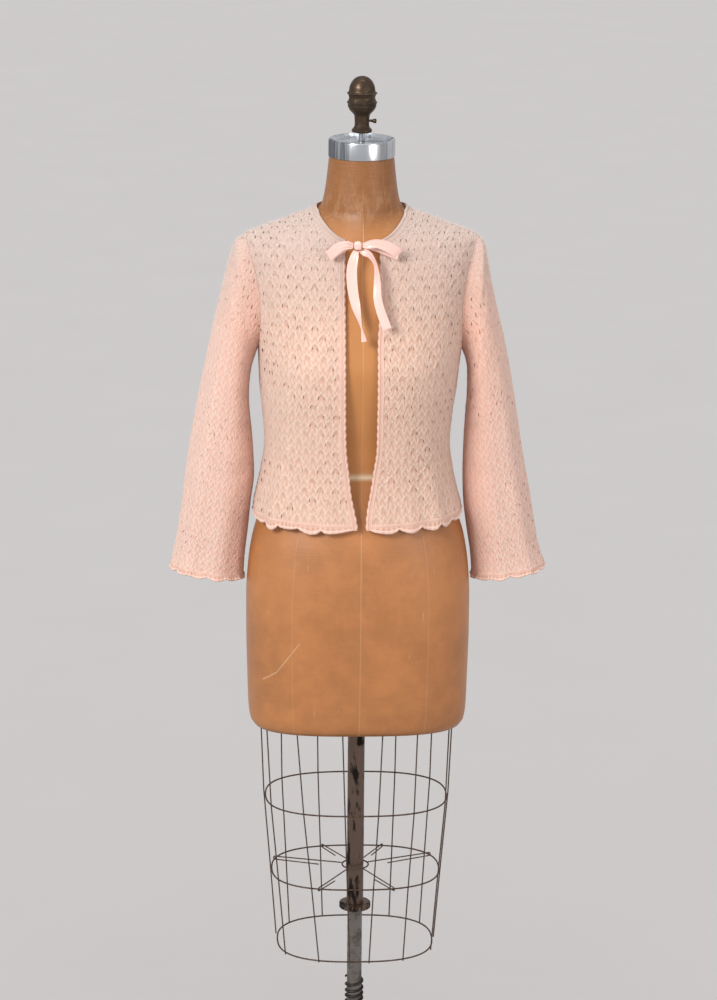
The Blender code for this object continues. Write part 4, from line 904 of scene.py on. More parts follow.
def edging_strip(node, place, long_steps, scallops, beads, bead_share, frill, length):
    """A crocheted strip. place(u, v) gives points and normals from the seam to the free edge."""
    u = np.linspace(0, 1, long_steps + 1)[:, None]
    v = np.array([-0.14, 0.0, 0.12, 0.24, 0.36, 0.48, 0.60, 0.70, 0.80, 0.90, 1.0])[None, :]
    points, normals = place(u, v)
    inside = (u * scallops) % 1 - 0.5
    rays = np.cos(TURN * inside * 5 + 1.3 * np.sin(31 * u)) * smooth_step(v, 0.15, 0.4)
    rows = np.cos(TURN * (v * 2.4 + 0.20)) * smooth_step(v, 0.3, 0.6)
    bead = np.cos(TURN * (u * beads + 0.35 * v))
    rim = np.exp(-((v - 0.86) / 0.17) ** 2)
    uneven = 1 + 0.5 * np.sin(23 * u) * np.sin(57 * u + 1)
    height = 0.45 + 0.20 * rays * uneven + 0.30 * rows + rim * (0.80 + bead_share * bead)
    height = np.where(v < 0.05, 0.80, height)
    wave = frill * np.sin(TURN * u * scallops * 1.5 + 2.1 * np.sin(9 * u)) * v
    points = points + normals * (height * 1.1 * MM - 1.0 * MM + wave)[..., None]
    # The free edge rolls over half a round
    out = unit(points[:, -1] - points[:, -2])
    rolled = [points]
    for turn in np.radians([45, 90, 135, 180]):
        moved = out * math.sin(turn) - normals[:, -1] * (1 - math.cos(turn))
        rolled.append((points[:, -1] + moved * MM)[:, None])
    points = np.concatenate(rolled, axis=1)
    uv = stacked(u * length * CLOTH_UNIT, np.linspace(0, 1, points.shape[1])[None, :])
    piece = grid_piece(node + "_crochet", points, lace_material("edging"), uv,
                       np.pad(height, ((0, 0), (0, 4)), mode="edge"))
    settle(piece, FORM_BODY, node)
    area = surface_area(points)
    wide = max(SMALLEST_FLAT, area / length * 1.02)
    max(area, 0.31 * wide * length)


def surface_area(points):
    left, right = points[:, :-1], points[:, 1:]
    first = np.cross(left[1:] - left[:-1], right[:-1] - left[:-1])
    second = np.cross(left[1:] - right[1:], right[:-1] - right[1:])
    return float(0.5 * (np.linalg.norm(first, axis=-1).sum()
                        + np.linalg.norm(second, axis=-1).sum()))


def run_length(points):
    return float(np.linalg.norm(np.diff(points, axis=0), axis=-1).sum())


def seam_length(place, samples=400):
    return run_length(place(np.linspace(0, 1, samples)[:, None], np.zeros((1, 1)))[0][:, 0])


def scallop(position, count):
    """0 between two scallops and 1 at the middle of one."""
    return np.abs(np.sin(math.pi * position * count)) ** 0.7


def build_hem():
    start = float(angle_from_x(opening_x(HEM_FRONT, 1) + FRONT_TRIM, HEM_FRONT, True))
    end = float(angle_from_x(-opening_x(HEM_FRONT, -1) - FRONT_TRIM, HEM_FRONT, True)) - TURN
    angles = [end, -math.pi, -math.pi / 2, 0.0, start]
    heights = [HEM_FRONT, HEM_SIDES[-1], HEM, HEM_SIDES[1], HEM_FRONT]

    def place(u, v):
        angle = start + (end - start) * u + 0 * v
        uneven = 1.15 + 0.6 * np.cos(7 * angle + 2 * np.sin(3 * angle))
        skewed = u + 0.16 / (TURN * HEM_SCALLOPS) * np.cos(TURN * HEM_SCALLOPS * u)
        drop = HEM_TRIM + HEM_SCALLOP * scallop(skewed, HEM_SCALLOPS) * uneven
        z = np.interp(angle, angles, heights) - drop * v
        return body_frame(JACKET_TABLE, angle, z, True)[:2]

    edging_strip("hem_edging", place, HEM_SCALLOPS * 32, HEM_SCALLOPS, HEM_SCALLOPS * 5, 0.18,
                 0.8 * MM, seam_length(place))


def build_front_edge(side):
    low = HEM_FRONT - HEM_TRIM

    def place(u, v):
        top = FRONT_TOPS[0] + (FRONT_TOPS[1] - FRONT_TOPS[0]) * v
        z = top + (low - top) * u
        wave = 1.2 * MM * (1 - scallop(u, FRONT_BUMPS))
        inset = (FRONT_TRIM - SEAM) * (1 - v) + wave * v
        angle = angle_from_x(side * (opening_x(z, side) + inset), z, True)
        return body_frame(JACKET_TABLE, angle, z, True)[:2]

    edging_strip(handed("front_edging", side), place, FRONT_BUMPS * 14, FRONT_BUMPS, FRONT_BUMPS,
                 0.5, 0.0, FRONT_TOPS[0] - low)


def build_cuff(side):
    last = SLEEVE[-1]
    centre = sum(sleeve_ends(last, side)) / 2 + np.array([0, last.back * MM, 0])

    def place(u, v):
        ring = sleeve_ring(last, side, TURN * u[:, 0], 1.0)[:, None, :]
        points = centre + (ring - centre) * (1 + 0.02 * v)[..., None]
        drop = CUFF_TRIM + CUFF_SCALLOP * scallop(u, CUFF_SCALLOPS)
        points[..., 2] = ring[..., 2] - (CLEAR + (drop - CLEAR) * v)
        return points, unit((points - centre) * np.array([1, 1, 0]))

    edging_strip(handed("cuff_edging", side), place, CUFF_SCALLOPS * 32, CUFF_SCALLOPS,
                 CUFF_SCALLOPS * 5, 0.2, 1.3 * MM, seam_length(place, 200))


def build_neck():
    stations = []
    front = [NECK_CORNER] + NECK_FRONT[::-1]
    for side, is_front, table in ((-1, True, front), (-1, False, NECK_BACK[1:]),
                                  (1, False, NECK_BACK[-2:0:-1]), (1, True, front[::-1])):
        for row in table:
            pair = []
            for x, z in ((row.band_x, row.band_z), (row.panel_x, row.panel_z)):
                angle = float(angle_from_x(x * MM, z * MM, is_front))
                pair += [mirror_angle(angle, side), z * MM]
            stations.append(pair)
    stations = np.array(stations).T
    stations[::2] = np.unwrap(stations[::2])
    number = np.linspace(0, 1, stations.shape[1])

    def place(u, v):
        top_angle, top_z, foot_angle, foot_z = (np.interp(u, number, row) for row in stations)
        angle = foot_angle + (top_angle - foot_angle) * v
        return body_frame(JACKET_TABLE, angle, foot_z + (top_z - foot_z) * v, False)[:2]

    edging_strip("neck_edging", place, 560, 40, 60, 0.35, 0.0, seam_length(place))


def build_ribbon(node, table):
    """A satin length that is gathered at its narrow places and curls a little."""
    place, table = smooth_rows(table, 12)
    place = place[:, None]
    centre = table[:, :3] * MM
    along = unit(np.gradient(centre, axis=0))
    width = table[:, 3:4]
    turn, lean = np.radians(table[:, 4:]).T
    wide = stacked(np.cos(turn) * np.cos(lean), -np.sin(lean), np.sin(turn) * np.cos(lean))
    wide = unit(wide - along * (wide * along).sum(axis=-1, keepdims=True))
    normal = np.cross(along, wide)
    w = np.linspace(-1, 1, 13)[None, :]
    pleats = 0.55 * np.sin(w * 7.5 + 0.4) * np.clip((15 - width) / 8, 0, 1)
    curl = 0.35 * (w * w - 0.5) + 0.12 * np.sin(w * 3 + place * 2.1)
    sway = 0.25 * w * np.sin(place * 2.6)
    points = (centre[:, None] + wide[:, None] * (w * width * MM / 2)[..., None]
              + normal[:, None] * ((pleats + curl + sway) * MM)[..., None])
    piece = grid_piece(node + "_satin", points, satin_material(), stacked(w * 0.75, place * 0.8))
    settle(piece, FORM_BODY, node)
    area = surface_area(points)


def build_knot():
    """The knot: a squarish wrap of satin with folds drawn down its front."""
    up = np.linspace(0.5 * math.pi, -0.5 * math.pi, 28)[:, None]
    turn = np.linspace(0, TURN, 48, endpoint=False)[None, :]
    square = 0.72
    ring = signed_power(np.cos(up), square)
    x = ring * signed_power(np.cos(turn), square)
    y = ring * signed_power(np.sin(turn), square)
    z = signed_power(np.sin(up), square)
    swell = 1 + 0.05 * np.cos(x * 11 + 1.5 * z) * ring
    points = KNOT_CENTRE + stacked(x * swell, y * swell, z) * KNOT_HALF * 0.98
    piece = grid_piece("bow_knot_satin", points, satin_material(), stacked(x * 0.7, z * 0.7),
                       wrap=True)
    weld(piece)
    settle(piece, FORM_BODY, "bow_knot")


def weld(piece):
    """Joins the points that lie on each other and faces the surface outward."""
    shell = bmesh.new()
    shell.from_mesh(piece.data)
    bmesh.ops.remove_doubles(shell, verts=shell.verts, dist=0.01 * MM)
    bmesh.ops.recalc_face_normals(shell, faces=shell.faces)
    shell.to_mesh(piece.data)
    shell.free()
    piece.data.shade_smooth()


def build_nap():
    """Loose mohair hairs on the panels and sleeves, longest on the shoulders."""
    count = knit().fibres
    rng = np.random.default_rng(5)
    points, normals = (np.concatenate(part) for part in zip(*NAP_SOURCES))
    high = smooth_step(points[:, 2], 1.15, 1.36)
    weight = 0.35 + 2.4 * high
    chosen = rng.choice(len(points), count, p=weight / weight.sum())
    root = points[chosen]
    out = normals[chosen]
    length = knit().fibre_length * (0.25 + 0.75 * rng.random(count) ** 1.5)
    length = (length * (0.55 + 0.45 * high[chosen]))[:, None]
    lean = unit(rng.normal(size=(count, 3)))
    lean = unit(lean - out * (lean * out).sum(axis=-1, keepdims=True))
    first = unit(out * 0.5 + lean * 0.9)
    second = unit(out * (rng.random((count, 1)) - 0.2) + lean
                  + unit(rng.normal(size=(count, 3))) * 0.7)
    middle = root + first * length * 0.5
    tip = middle + second * length * 0.5
    side = unit(np.cross(first, out)) * 0.11 * MM
    corners = np.stack([root - side, root + side, middle - side * 0.8, middle + side * 0.8, tip],
                       axis=1)
    base = 5 * np.arange(count)[:, None]
    faces = (base + [0, 1, 3, 2]).tolist() + (base + [2, 3, 4]).tolist()
    piece = mesh_piece("mohair_nap", corners, faces, nap_material())
    settle(piece, FORM_BODY, None)


def build_form():
    """The canvas form with its sewn panels, waist tape and closed foot."""
    shares = list(signed_power(np.cos(np.linspace(0, math.pi, 60)), 2 / 2.3))
    for seam, unused in FORM_SEAMS:
        shares += [seam + away for away in (-0.018, -0.009, -0.0045, 0.0, 0.0045, 0.009, 0.018)]
    shares = np.unique(np.round(shares, 5))[::-1]
    around = np.concatenate([shares, shares[-2:0:-1]])
    facing = np.where(np.arange(len(around)) < len(shares), 1, -1)
    levels = np.linspace(FORM[0].height * MM, FORM[-1].height * MM, 130)[:, None]
    cosine = signed_power(around, FORM_TABLE.read("power", levels / MM) / 2)
    angle = np.arccos(np.clip(cosine, -1, 1)) * facing
    points, normals, unused = body_frame(FORM_TABLE, angle, levels, False)
    groove = np.max([depth * soft_bump((around - seam) / 0.008) for seam, depth in FORM_SEAMS],
                    axis=0)
    tape = (smooth_step(levels, TAPE[0], TAPE[0] + TAPE_EDGE)
            * (1 - smooth_step(levels, TAPE[1] - TAPE_EDGE, TAPE[1])))
    groove, tape = np.broadcast_arrays(groove, tape)
    lift = (0.5 * tape - 0.5 * groove * (1 - tape)) * MM
    points = points + normals * lift[..., None]
    shrink = np.array([0.0, 0.4, 0.8, 0.95])[:, None, None]
    foot = points[:1] * np.concatenate([shrink, shrink, shrink * 0 + 1], axis=-1)
    points = np.concatenate([foot - np.array([0, 0, 0.2 * MM]), points])
    tone, tape = (np.pad(marks, ((4, 0), (0, 0))) for marks in (groove, tape))
    piece = grid_piece("form_torso_canvas", points, canvas_material(), stacked(tone, tape), tone,
                       wrap=True)
    weld(piece)
    settle(piece, FORM_BODY, "form_torso")


def turned(name, node, profile, body, material, bevel, depths=None):
    """A turned part from a profile of heights and radii in metres."""
    height, radius = np.array(profile).T[:, :, None]
    depth = radius if depths is None else np.array(depths)[:, None]
    turn = np.linspace(0, TURN, 80, endpoint=False)
    points = stacked(radius * np.cos(turn), depth * np.sin(turn), height)
    piece = grid_piece(name, points, material, wrap=True)
    weld(piece)
    if bevel:
        edge = piece.modifiers.new("edge", "BEVEL")
        edge.width = bevel
        edge.segments = 3
        edge.limit_method = "ANGLE"
        edge.angle_limit = math.radians(25)
        edge.harden_normals = True
    settle(piece, body, node)


def refined(node, body, material, swell):
    """A wire or small metal part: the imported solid's own form, rounded and finely divided."""
    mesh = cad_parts[node].data.copy()
    mesh.materials.clear()
    mesh.materials.append(material)
    piece = placed(node + "_metal", mesh)
    weld(piece)
    normals = [vertex.normal.copy() for vertex in mesh.vertices]
    for vertex, normal in zip(mesh.vertices, normals):
        vertex.co += normal * swell
    rounder = piece.modifiers.new("round", "SUBSURF")
    rounder.levels = 1
    rounder.render_levels = 1
    settle(piece, body, node)


def rod_profile(node, bore=0.0):
    """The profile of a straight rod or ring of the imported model."""
    low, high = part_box(node)
    radius = (high.x - low.x) / 2
    profile = [(low.z, bore), (low.z, radius), (high.z, radius), (high.z, bore)]
    return profile + profile[:1] if bore else profile


def build_neck_metal():
    # On the cap the dark blue-grey patches, drawn upward into streaks, are painted reflection of the dark
    # bands that brushed steel shows
    steel = metal_material("cap_steel", (0.56, 0.59, 0.63), (0.10, 0.11, 0.125), 0.2, 42, 0.55,
                           0.16, 0.04)
    brass = metal_material("finial_brass", (0.085, 0.058, 0.038), (0.04, 0.025, 0.016), 0.38, 90,
                           0.6)
    cap = np.array(NECK_CAP) * MM
    turned("neck_cap_steel", "neck_cap", cap[:, :2], FORM_BODY, steel, 0.5 * MM,
           cap[:, 2])
    turned("cap_stem_steel", "cap_stem", rod_profile("cap_stem"), FORM_BODY,
           steel, 0.3 * MM)
    finial = np.maximum(smooth_rows(FINIAL, 4)[1] * MM, 0.0)
    turned("finial_turned", "finial", finial, FORM_BODY, brass, 0)
    refined("set_screw", FORM_BODY, brass, 0.0)


def build_cage():
    wire = metal_material("cage_wire", (0.13, 0.10, 0.085), (0.075, 0.035, 0.018), 0.5, 220, 0.6)
    for node in sorted(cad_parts):
        if node.startswith("cage_ring") or node == "cage_hub":
            refined(node, FORM_BODY, wire, 0.2 * MM)
        elif node.startswith("cage_"):
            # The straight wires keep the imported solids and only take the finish
            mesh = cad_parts[node].data
            mesh.materials.clear()
            mesh.materials.append(wire)


def build_pole():
    tube = metal_material("tube_steel", (0.17, 0.12, 0.095), (0.008, 0.006, 0.005), 0.42, 70,
                          0.42, 0.08, 0.3)
    rod = metal_material("rod_steel", (0.24, 0.22, 0.21), (0.10, 0.085, 0.075), 0.33, 50, 0.6)
    coil = metal_material("spring_steel", (0.06, 0.055, 0.05), (0.03, 0.02, 0.016), 0.4, 80, 0.6)
    iron = metal_material("base_iron", (0.045, 0.044, 0.043), (0.10, 0.06, 0.04), 0.6, 30, 0.3)
    low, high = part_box("upper_tube")
    radius = (high.x - low.x) / 2
    bore = radius - 1.1 * MM
    plug = high.z - 8 * MM      # where the tube's solid head starts
    turned("upper_tube_steel", "upper_tube",
           [(plug, 0), (plug, bore), (low.z, bore), (low.z, radius), (high.z, radius),
            (high.z, 0)], FORM_BODY, tube, 0.3 * MM)
    turned("collar_steel", "collar", rod_profile("collar", 11.7 * MM), COLLAR_BODY,
           tube, 0.6 * MM)
    turned("lower_rod_steel", "lower_rod", rod_profile("lower_rod"), STAND_BODY,
           rod, 0.4 * MM)
    turned("base_iron_disc", "base", np.array(BASE) * MM, STAND_BODY, iron, 1.5 * MM)
    refined("spring", STAND_BODY, coil, 0.25 * MM)


class Signal:
    """A shader value. Reckoning with it adds Math nodes to its finish."""

    def __init__(self, finish, socket):
        self.finish = finish
        self.socket = socket

    def math(self, operation, first, second=None):
        return self.finish.add("ShaderNodeMath", {0: first, 1: second}, operation=operation)

    def __add__(self, other):
        return self.math("ADD", self, other)

    def __sub__(self, other):
        return self.math("SUBTRACT", self, other)

    def __rsub__(self, other):
        return self.math("SUBTRACT", other, self)

    def __mul__(self, other):
        return self.math("MULTIPLY", self, other)

    def __truediv__(self, other):
        return self.math("DIVIDE", self, other)

    def of(self, operation, limit=None):
        return self.math(operation, self, limit)

    def clamped(self):
        """The same value, kept from 0 to 1."""
        self.socket.node.use_clamp = True
        return self


class Finish:
    """A new material whose main shader is a Principled one."""

    def __init__(self, name):
        self.material = bpy.data.materials.new(name)
        self.material.use_nodes = True
        self.tree = self.material.node_tree
        self.shader = self.tree.nodes["Principled BSDF"]

    def feed(self, socket, value):
        """Gives a socket a signal, a number, a vector, or a colour as a tuple."""
        if isinstance(value, Signal):
            self.tree.links.new(value.socket, socket)
        elif isinstance(value, tuple):
            socket.default_value = (*value, 1)
        elif value is not None:
            socket.default_value = value

    def add(self, kind, inputs, output=0, **settings):
        node = self.tree.nodes.new(kind)
        for key, value in settings.items():
            setattr(node, key, value)
        for key, value in inputs.items():
            self.feed(node.inputs[key], value)
        return Signal(self, node.outputs[output])

    def set(self, **inputs):
        """Feeds the shader's sockets, named here with underscores for spaces."""
        for key, value in inputs.items():
            self.feed(self.shader.inputs[key.replace("_", " ")], value)

    def place(self):
        return self.add("ShaderNodeTexCoord", {}, "Object")

    def cloth(self):
        return self.add("ShaderNodeUVMap", {}, uv_map="knit")

    def tone(self):
        return self.add("ShaderNodeAttribute", {}, "Fac", attribute_name="tone")

    def split(self, vector):
        parts = self.add("ShaderNodeSeparateXYZ", {0: vector})
        return [Signal(self, socket) for socket in parts.socket.node.outputs]

    def pulled(self, vector, scale, rotation=(0, 0, 0)):
        return self.add("ShaderNodeMapping", {"Vector": vector, "Scale": Vector(scale),
                                              "Rotation": Vector(rotation)})

    def noise(self, vector, scale, detail, rough=0.55):
        return self.add("ShaderNodeTexNoise", {"Vector": vector, "Scale": scale,
                                               "Detail": detail, "Roughness": rough}, "Fac")

    def ramp(self, factor, *stops):
        """Colours, or greys as numbers, at places from 0 to 1."""
        made = self.add("ShaderNodeValToRGB", {"Fac": factor})
        elements = made.socket.node.color_ramp.elements
        while len(elements) < len(stops):
            elements.new(0.5)
        for element, (place, colour) in zip(elements, stops):
            element.position = place
            element.color = (*(colour if isinstance(colour, tuple) else (colour,) * 3), 1)
        return made

    def mix(self, factor, first, second):
        return self.add("ShaderNodeMix", {0: factor, 6: first, 7: second}, 2, data_type="RGBA")

    def layered(self, base, layers):
        """Lays each colour over those before it, by its own amount."""
        for amount, colour in layers:
            base = self.mix(amount, base, colour)
        return base

    def bump(self, height, strength, distance):
        normal = self.add("ShaderNodeBump", {"Strength": strength, "Distance": distance,
                                             "Height": height})
        self.set(Normal=normal)
        return normal

    def glow(self, colour, share, normal):
        """Lets a share of the light through, as thin wool does."""
        through = self.add("ShaderNodeBsdfTranslucent", {"Color": colour, "Normal": normal})
        both = self.add("ShaderNodeMixShader", {0: share, 1: Signal(self, self.shader.outputs[0]),
                                                2: through})
        self.feed(self.tree.nodes["Material Output"].inputs["Surface"], both)


def shaded(colour, factor, tint=(1, 1, 1)):
    return tuple(min(1.0, c * factor * k) for c, k in zip(colour, tint))


@cache
def lace_material(part):
    """Mohair yarn: knit stitches, painted highlights on the raised edges, painted shade in the grooves
    and a soft halo.
    """
    made = Finish(part + "_yarn")
    colour = tuple(getattr(colours(), part))
    x, y, unused = made.split(made.cloth())
    leg = (x / STITCH[0]).of("PINGPONG", 0.5)
    stitch = (((y / STITCH[1] + leg * 1.6) * TURN).of("SINE") + 1.0) * (leg + 0.25)
    up = y / (knit().leaf_height * CLOTH_UNIT)
    flank = up.of("PINGPONG", 0.5) * 2
    side = (x / (knit().leaf_width * CLOTH_UNIT)).of("PINGPONG", 0.5) * 2
    sum_m = side + (flank + (flank * TURN).of("SINE") * (LEAF_BEND / TURN))
    m = sum_m.of("PINGPONG", 1)
    # Fine strands run parallel to the arms of each inverted V
    along = up + (1.0 - sum_m.of("GREATER_THAN", 1.0) * 2.0) * side
    strands = (along * (TURN * 2)).of("COSINE")
    rim_highlight_fade = made.ramp(1.0 - (up * 2.0).of("FRACT"), (0.0, 0), (0.1, 1), (0.5, 1), (1.0, 0.25))
    place = made.place()
    fuzz = made.noise(place, 900, 4, 0.7)
    strand = made.noise(place, 260, 3, 0.6)
    mottle = made.noise(place, 26, 3, 0.5)
    # The relief's height sets painted light: painted shade, darker and deeper, in the grooves, and a
    # painted highlight, paler, on the raised edges
    painted_relief_shading = made.ramp(made.tone(), (0.05, shaded(colour, 0.55, (1.08, 0.74, 0.60))),
                       (0.42, shaded(colour, 0.90, (1, 0.97, 0.95))),
                       (0.95, shaded(colour, 1.12, (1, 1.08, 1.14))))
    layers = [
        ((strand * 0.35).clamped(), shaded(colour, 0.72, (1.02, 0.9, 0.82))),
        ((mottle * 0.25).clamped(), shaded(colour, 1.1, (1, 1.1, 1.15))),
        (made.ramp(fuzz, (0.35, 1), (0.60, 0)) * 0.28, shaded(colour, 0.76, (1.04, 0.88, 0.80)))]
    relief = stitch * 0.5 + fuzz * 0.6
    if part != "edging":
        relief = relief + strands * 0.45
        layers += [
            # Painted shade in the valleys between strands, and painted highlights on the strands and
            # along each inverted V's raised edge
            (((0.0 - strands) * 0.55).clamped() * (mottle + 0.2),
             shaded(colour, 0.66, (1.08, 0.80, 0.68))),
            (((strands - 0.35) * 0.5).clamped(), (1.0, 0.87, 0.77)),
            (((m - 0.80) * 5.0).clamped() * rim_highlight_fade * 0.55, (1.0, 0.88, 0.79)),
            # Painted shade in the gaps between stitches
            (((0.9 - stitch) * 0.4).clamped(), shaded(colour, 0.72, (1.04, 0.86, 0.76)))]
    place_x, unused, place_z = made.split(place)
    if part == "sleeve":
        # Next to the body light comes through two layers and turns warm
        warm = ((0.215 - place_x.of("ABSOLUTE")) * 14).clamped()
        layers.append((warm * 0.55, (0.93, 0.47, 0.335)))
    # The yarn turns darker and greyer towards the shoulders, patchy with the fuzz
    shoulder_greying = (((place_z - 1.22) * 6.5).clamped() * (fuzz + 0.2)).clamped()
    layers.append((shoulder_greying * 0.95, (0.53, 0.455, 0.425)))
    yarn = made.layered(painted_relief_shading, layers)
    made.set(Base_Color=yarn, Roughness=0.92, Specular_IOR_Level=0.2, Sheen_Weight=0.55,
             Sheen_Roughness=0.45, Sheen_Tint=(1.0, 0.93, 0.88))
    made.glow(yarn, 0.13, made.bump(relief, 0.8, 0.8 * MM))
    return made.material


def nap_material():
    made = Finish("mohair_hair")
    fine = made.noise(made.place(), 40, 2)
    hair = made.ramp(fine, (0.3, (0.93, 0.76, 0.67)), (0.7, (0.96, 0.88, 0.83)))
    made.set(Base_Color=hair, Roughness=0.6, Sheen_Weight=0.4)
    made.glow(hair, 0.4, made.bump(fine, 0.1, 0.1 * MM))
    return made.material


@cache
def satin_material():
    """Pink satin: fine ribs across the ribbon, painted a little lighter as a painted sheen, and a long
    soft gleam.
    """
    made = Finish("ribbon_satin")
    colour = tuple(colours().satin)
    rib_and_painted_sheen = made.noise(made.pulled(made.cloth(), (26, 3, 1)), 3.0, 3)
    shade = made.noise(made.place(), 60, 2)
    # The ribs are painted up to 8% lighter, a painted sheen along the ribbon
    base = made.mix(rib_and_painted_sheen * 0.5, colour, shaded(colour, 1.08))
    base = made.mix(shade * 0.35, base, shaded(colour, 0.8, (1, 0.9, 0.9)))
    made.set(Base_Color=base, Roughness=0.3, Sheen_Weight=0.25, Anisotropic=0.45,
             Specular_IOR_Level=0.65)
    made.bump(rib_and_painted_sheen, 0.25, 0.12 * MM)
    return made.material


# (x, z) of the start and end of the long pale scratches on the front, and their half width
LONG_SCRATCHES = [((-0.1435, 0.6895), (-0.124, 0.705), 1.3 * MM),
                  ((-0.124, 0.705), (-0.090, 0.7556), 1.1 * MM)]


def scratch_mark(x, z, stain, start, end, width):
    """How strongly a long scratch shows, from its middle line out."""
    run = (end[0] - start[0], end[1] - start[1])
    square = run[0] ** 2 + run[1] ** 2
    right = x - start[0]
    above = z - start[1]
    share = (right * (run[0] / square) + above * (run[1] / square)).clamped()
    off_x = right - share * run[0]
    off_z = above - share * run[1]
    return ((stain + 0.5) - (off_x * off_x + off_z * off_z) / (width * width)).clamped()


def canvas_material():
    """Varnished brown canvas with rubbed seams, scratches and a cream waist tape."""
    made = Finish("varnished_canvas")
    colour = tuple(colours().canvas)
    place = made.place()
    x, y, z = made.split(place)
    stain = made.noise(place, 28, 5, 0.65)
    base = made.ramp(made.noise(place, 7, 4), (0.3, shaded(colour, 0.78)), (0.5, colour),
                     (0.7, shaded(colour, 1.2)))
    rub = made.noise(made.pulled(place, (80, 80, 45)), 1.0, 4, 0.7)
    glue = (1.0 - (z - 1.40).of("ABSOLUTE") * 22).clamped()
    scratch = made.noise(made.pulled(place, (160, 60, 22), (0, 0.5, 0)), 1.0, 2)
    layers = [
        (made.ramp(stain, (0.45, 0), (0.72, 1)) * 0.25, shaded(colour, 1.6)),
        # Lighter above the waist, and much darker up the neck
        (((z - 0.95) * 12).clamped() * 0.8, shaded(colour, 1.42, (1, 1.08, 1))),
        (((z - 1.345) * 22).clamped() * 0.9, shaded(colour, 0.52, (1, 0.9, 0.6))),
        (made.ramp(rub, (0.50, 0), (0.60, 1)) * glue * 0.25, (0.50, 0.32, 0.16)),
        (made.ramp(scratch, (0.71, 0), (0.76, 1)) * 0.3, (0.55, 0.38, 0.22))]
    for start, end, width in LONG_SCRATCHES:
        mark = scratch_mark(x, z, stain, start, end, width)
        layers.append((mark * y.of("LESS_THAN", 0.0) * 0.55, (0.60, 0.42, 0.25)))
    warp, weft = (made.noise(made.pulled(place, scale), 1.0, 2)
                  for scale in ((900, 900, 22), (40, 40, 900)))
    weave = warp + weft
    layers += [
        ((made.tone() * 0.38).clamped(), (0.56, 0.36, 0.19)),
        (made.split(made.cloth())[1], (0.72, 0.60, 0.42)),
        (made.ramp(weave * 0.5, (0.38, 0), (0.62, 1)) * 0.20, shaded(colour, 1.5))]
    made.set(Base_Color=made.layered(base, layers), Roughness=stain * 0.3 + 0.32,
             Coat_Weight=0.12, Coat_Roughness=0.35)
    made.bump(weave, 0.6, 0.4 * MM)
    return made.material


def metal_material(name, clean, worn_and_reflected, rough, scale, amount, soft=0.13, drawn=1.0):
    """Metal whose scuffed patches follow noise in the part's own place, drawn out upward below 1. On the
    neck cap the same dark patches are painted reflection instead.
    """
    made = Finish(name)
    place = made.place()
    patch = made.noise(made.pulled(place, (1, 1, drawn)), scale, 5, 0.65)
    start = 0.62 - 0.3 * amount
    wear_and_reflection = made.ramp(patch, (start, 0), (start + soft, 1))
    made.set(Base_Color=made.mix(wear_and_reflection, clean, worn_and_reflected), Metallic=1.0 - wear_and_reflection * (0.75 * amount),
             Roughness=wear_and_reflection * 0.35 + rough)
    made.bump(made.noise(place, scale * 9, 3) + patch, 0.3, 0.15 * MM)
    return made.material


def backdrop_material():
    made = Finish("backdrop_paper")
    paper = tuple(colours().backdrop)
    tint = made.ramp(made.noise(made.place(), 3, 2), (0.0, shaded(paper, 0.98)),
                     (1.0, shaded(paper, 1.02)))
    made.set(Base_Color=tint, Roughness=0.95, Specular_IOR_Level=0.1)
    return made.material


def build_camera():
    place = Vector((-0.1856, -4.6217, 2.2287))
    target = Vector((0, 0, 0.946))
    roll = 0.0091
    data = bpy.data.cameras.new("photo_camera")
    data.lens = 115.2
    data.sensor_width = 36
    data.clip_end = 60
    camera = placed("photo_camera", data)
    along = (target - place).normalized()
    right = along.cross(Vector((0, 0, 1))).normalized()
    right = right * math.cos(roll) + right.cross(along) * math.sin(roll)
    turned_axes = Matrix((right, right.cross(along), -along)).transposed()
    camera.matrix_world = Matrix.Translation(place) @ turned_axes.to_4x4()
    bpy.context.scene.camera = camera


def soft_light(name, place, target_height, size, power, colour, unlit):
    data = bpy.data.lights.new(name, "AREA")
    data.shape = "DISK"
    data.size = size
    data.energy = power
    data.color = colour
    light = placed(name, data)
    light.light_linking.receiver_collection = unlit
    light.location = place
    aim = Vector((0, 0, target_height)) - Vector(place)
    light.rotation_euler = aim.to_track_quat("-Z", "Y").to_euler()


def build_floor():
    """A wide pale floor, lit by the air alone so that it stays even behind the form."""
    turn = np.linspace(0, TURN, 96, endpoint=False)
    points = stacked(FLOOR_REACH * np.cos(turn), FLOOR_REACH * np.sin(turn), 0.0)
    floor = mesh_piece("pale_floor", points, [list(range(len(turn)))], backdrop_material())
    unlit = bpy.data.collections.new("floor_out_of_the_lights")
    unlit.objects.link(floor)
    unlit.collection_objects[0].light_linking.link_state = "EXCLUDE"
    return unlit


def build_world():
    world = bpy.data.worlds.new("studio_air")
    world.use_nodes = True
    air = world.node_tree.nodes["Background"]
    air.inputs[0].default_value = (1.0, 0.995, 0.995, 1)
    air.inputs[1].default_value = 0.66
    bpy.context.scene.world = world


class JACKET_OT_stage(bpy.types.Operator):
    """Set the floor, the lights and the camera"""
    bl_idname = "bed_jacket.stage"
    bl_label = "Stage"

    def execute(self, context):
        for name in ("Cube", "Light", "Camera"):
            if name in bpy.data.objects:
                bpy.data.objects.remove(bpy.data.objects[name])
        stage = context.scene.jacket_stage
        build_camera()
        unlit = build_floor()
        build_world()
        soft_light("key_light", (-2.6, -3.0, 3.4), 1.1, 1.6, stage.key, (1.0, 0.98, 0.95), unlit)
        soft_light("fill_light", (2.8, -3.2, 2.0), 1.0, 2.2, stage.fill, (1.0, 0.88, 0.80), unlit)
        soft_light("top_light", (0.2, 0.4, 3.8), 1.2, 1.8, stage.top, (1, 1, 1), unlit)
        context.scene.view_settings.view_transform = "Standard"
        return {"FINISHED"}


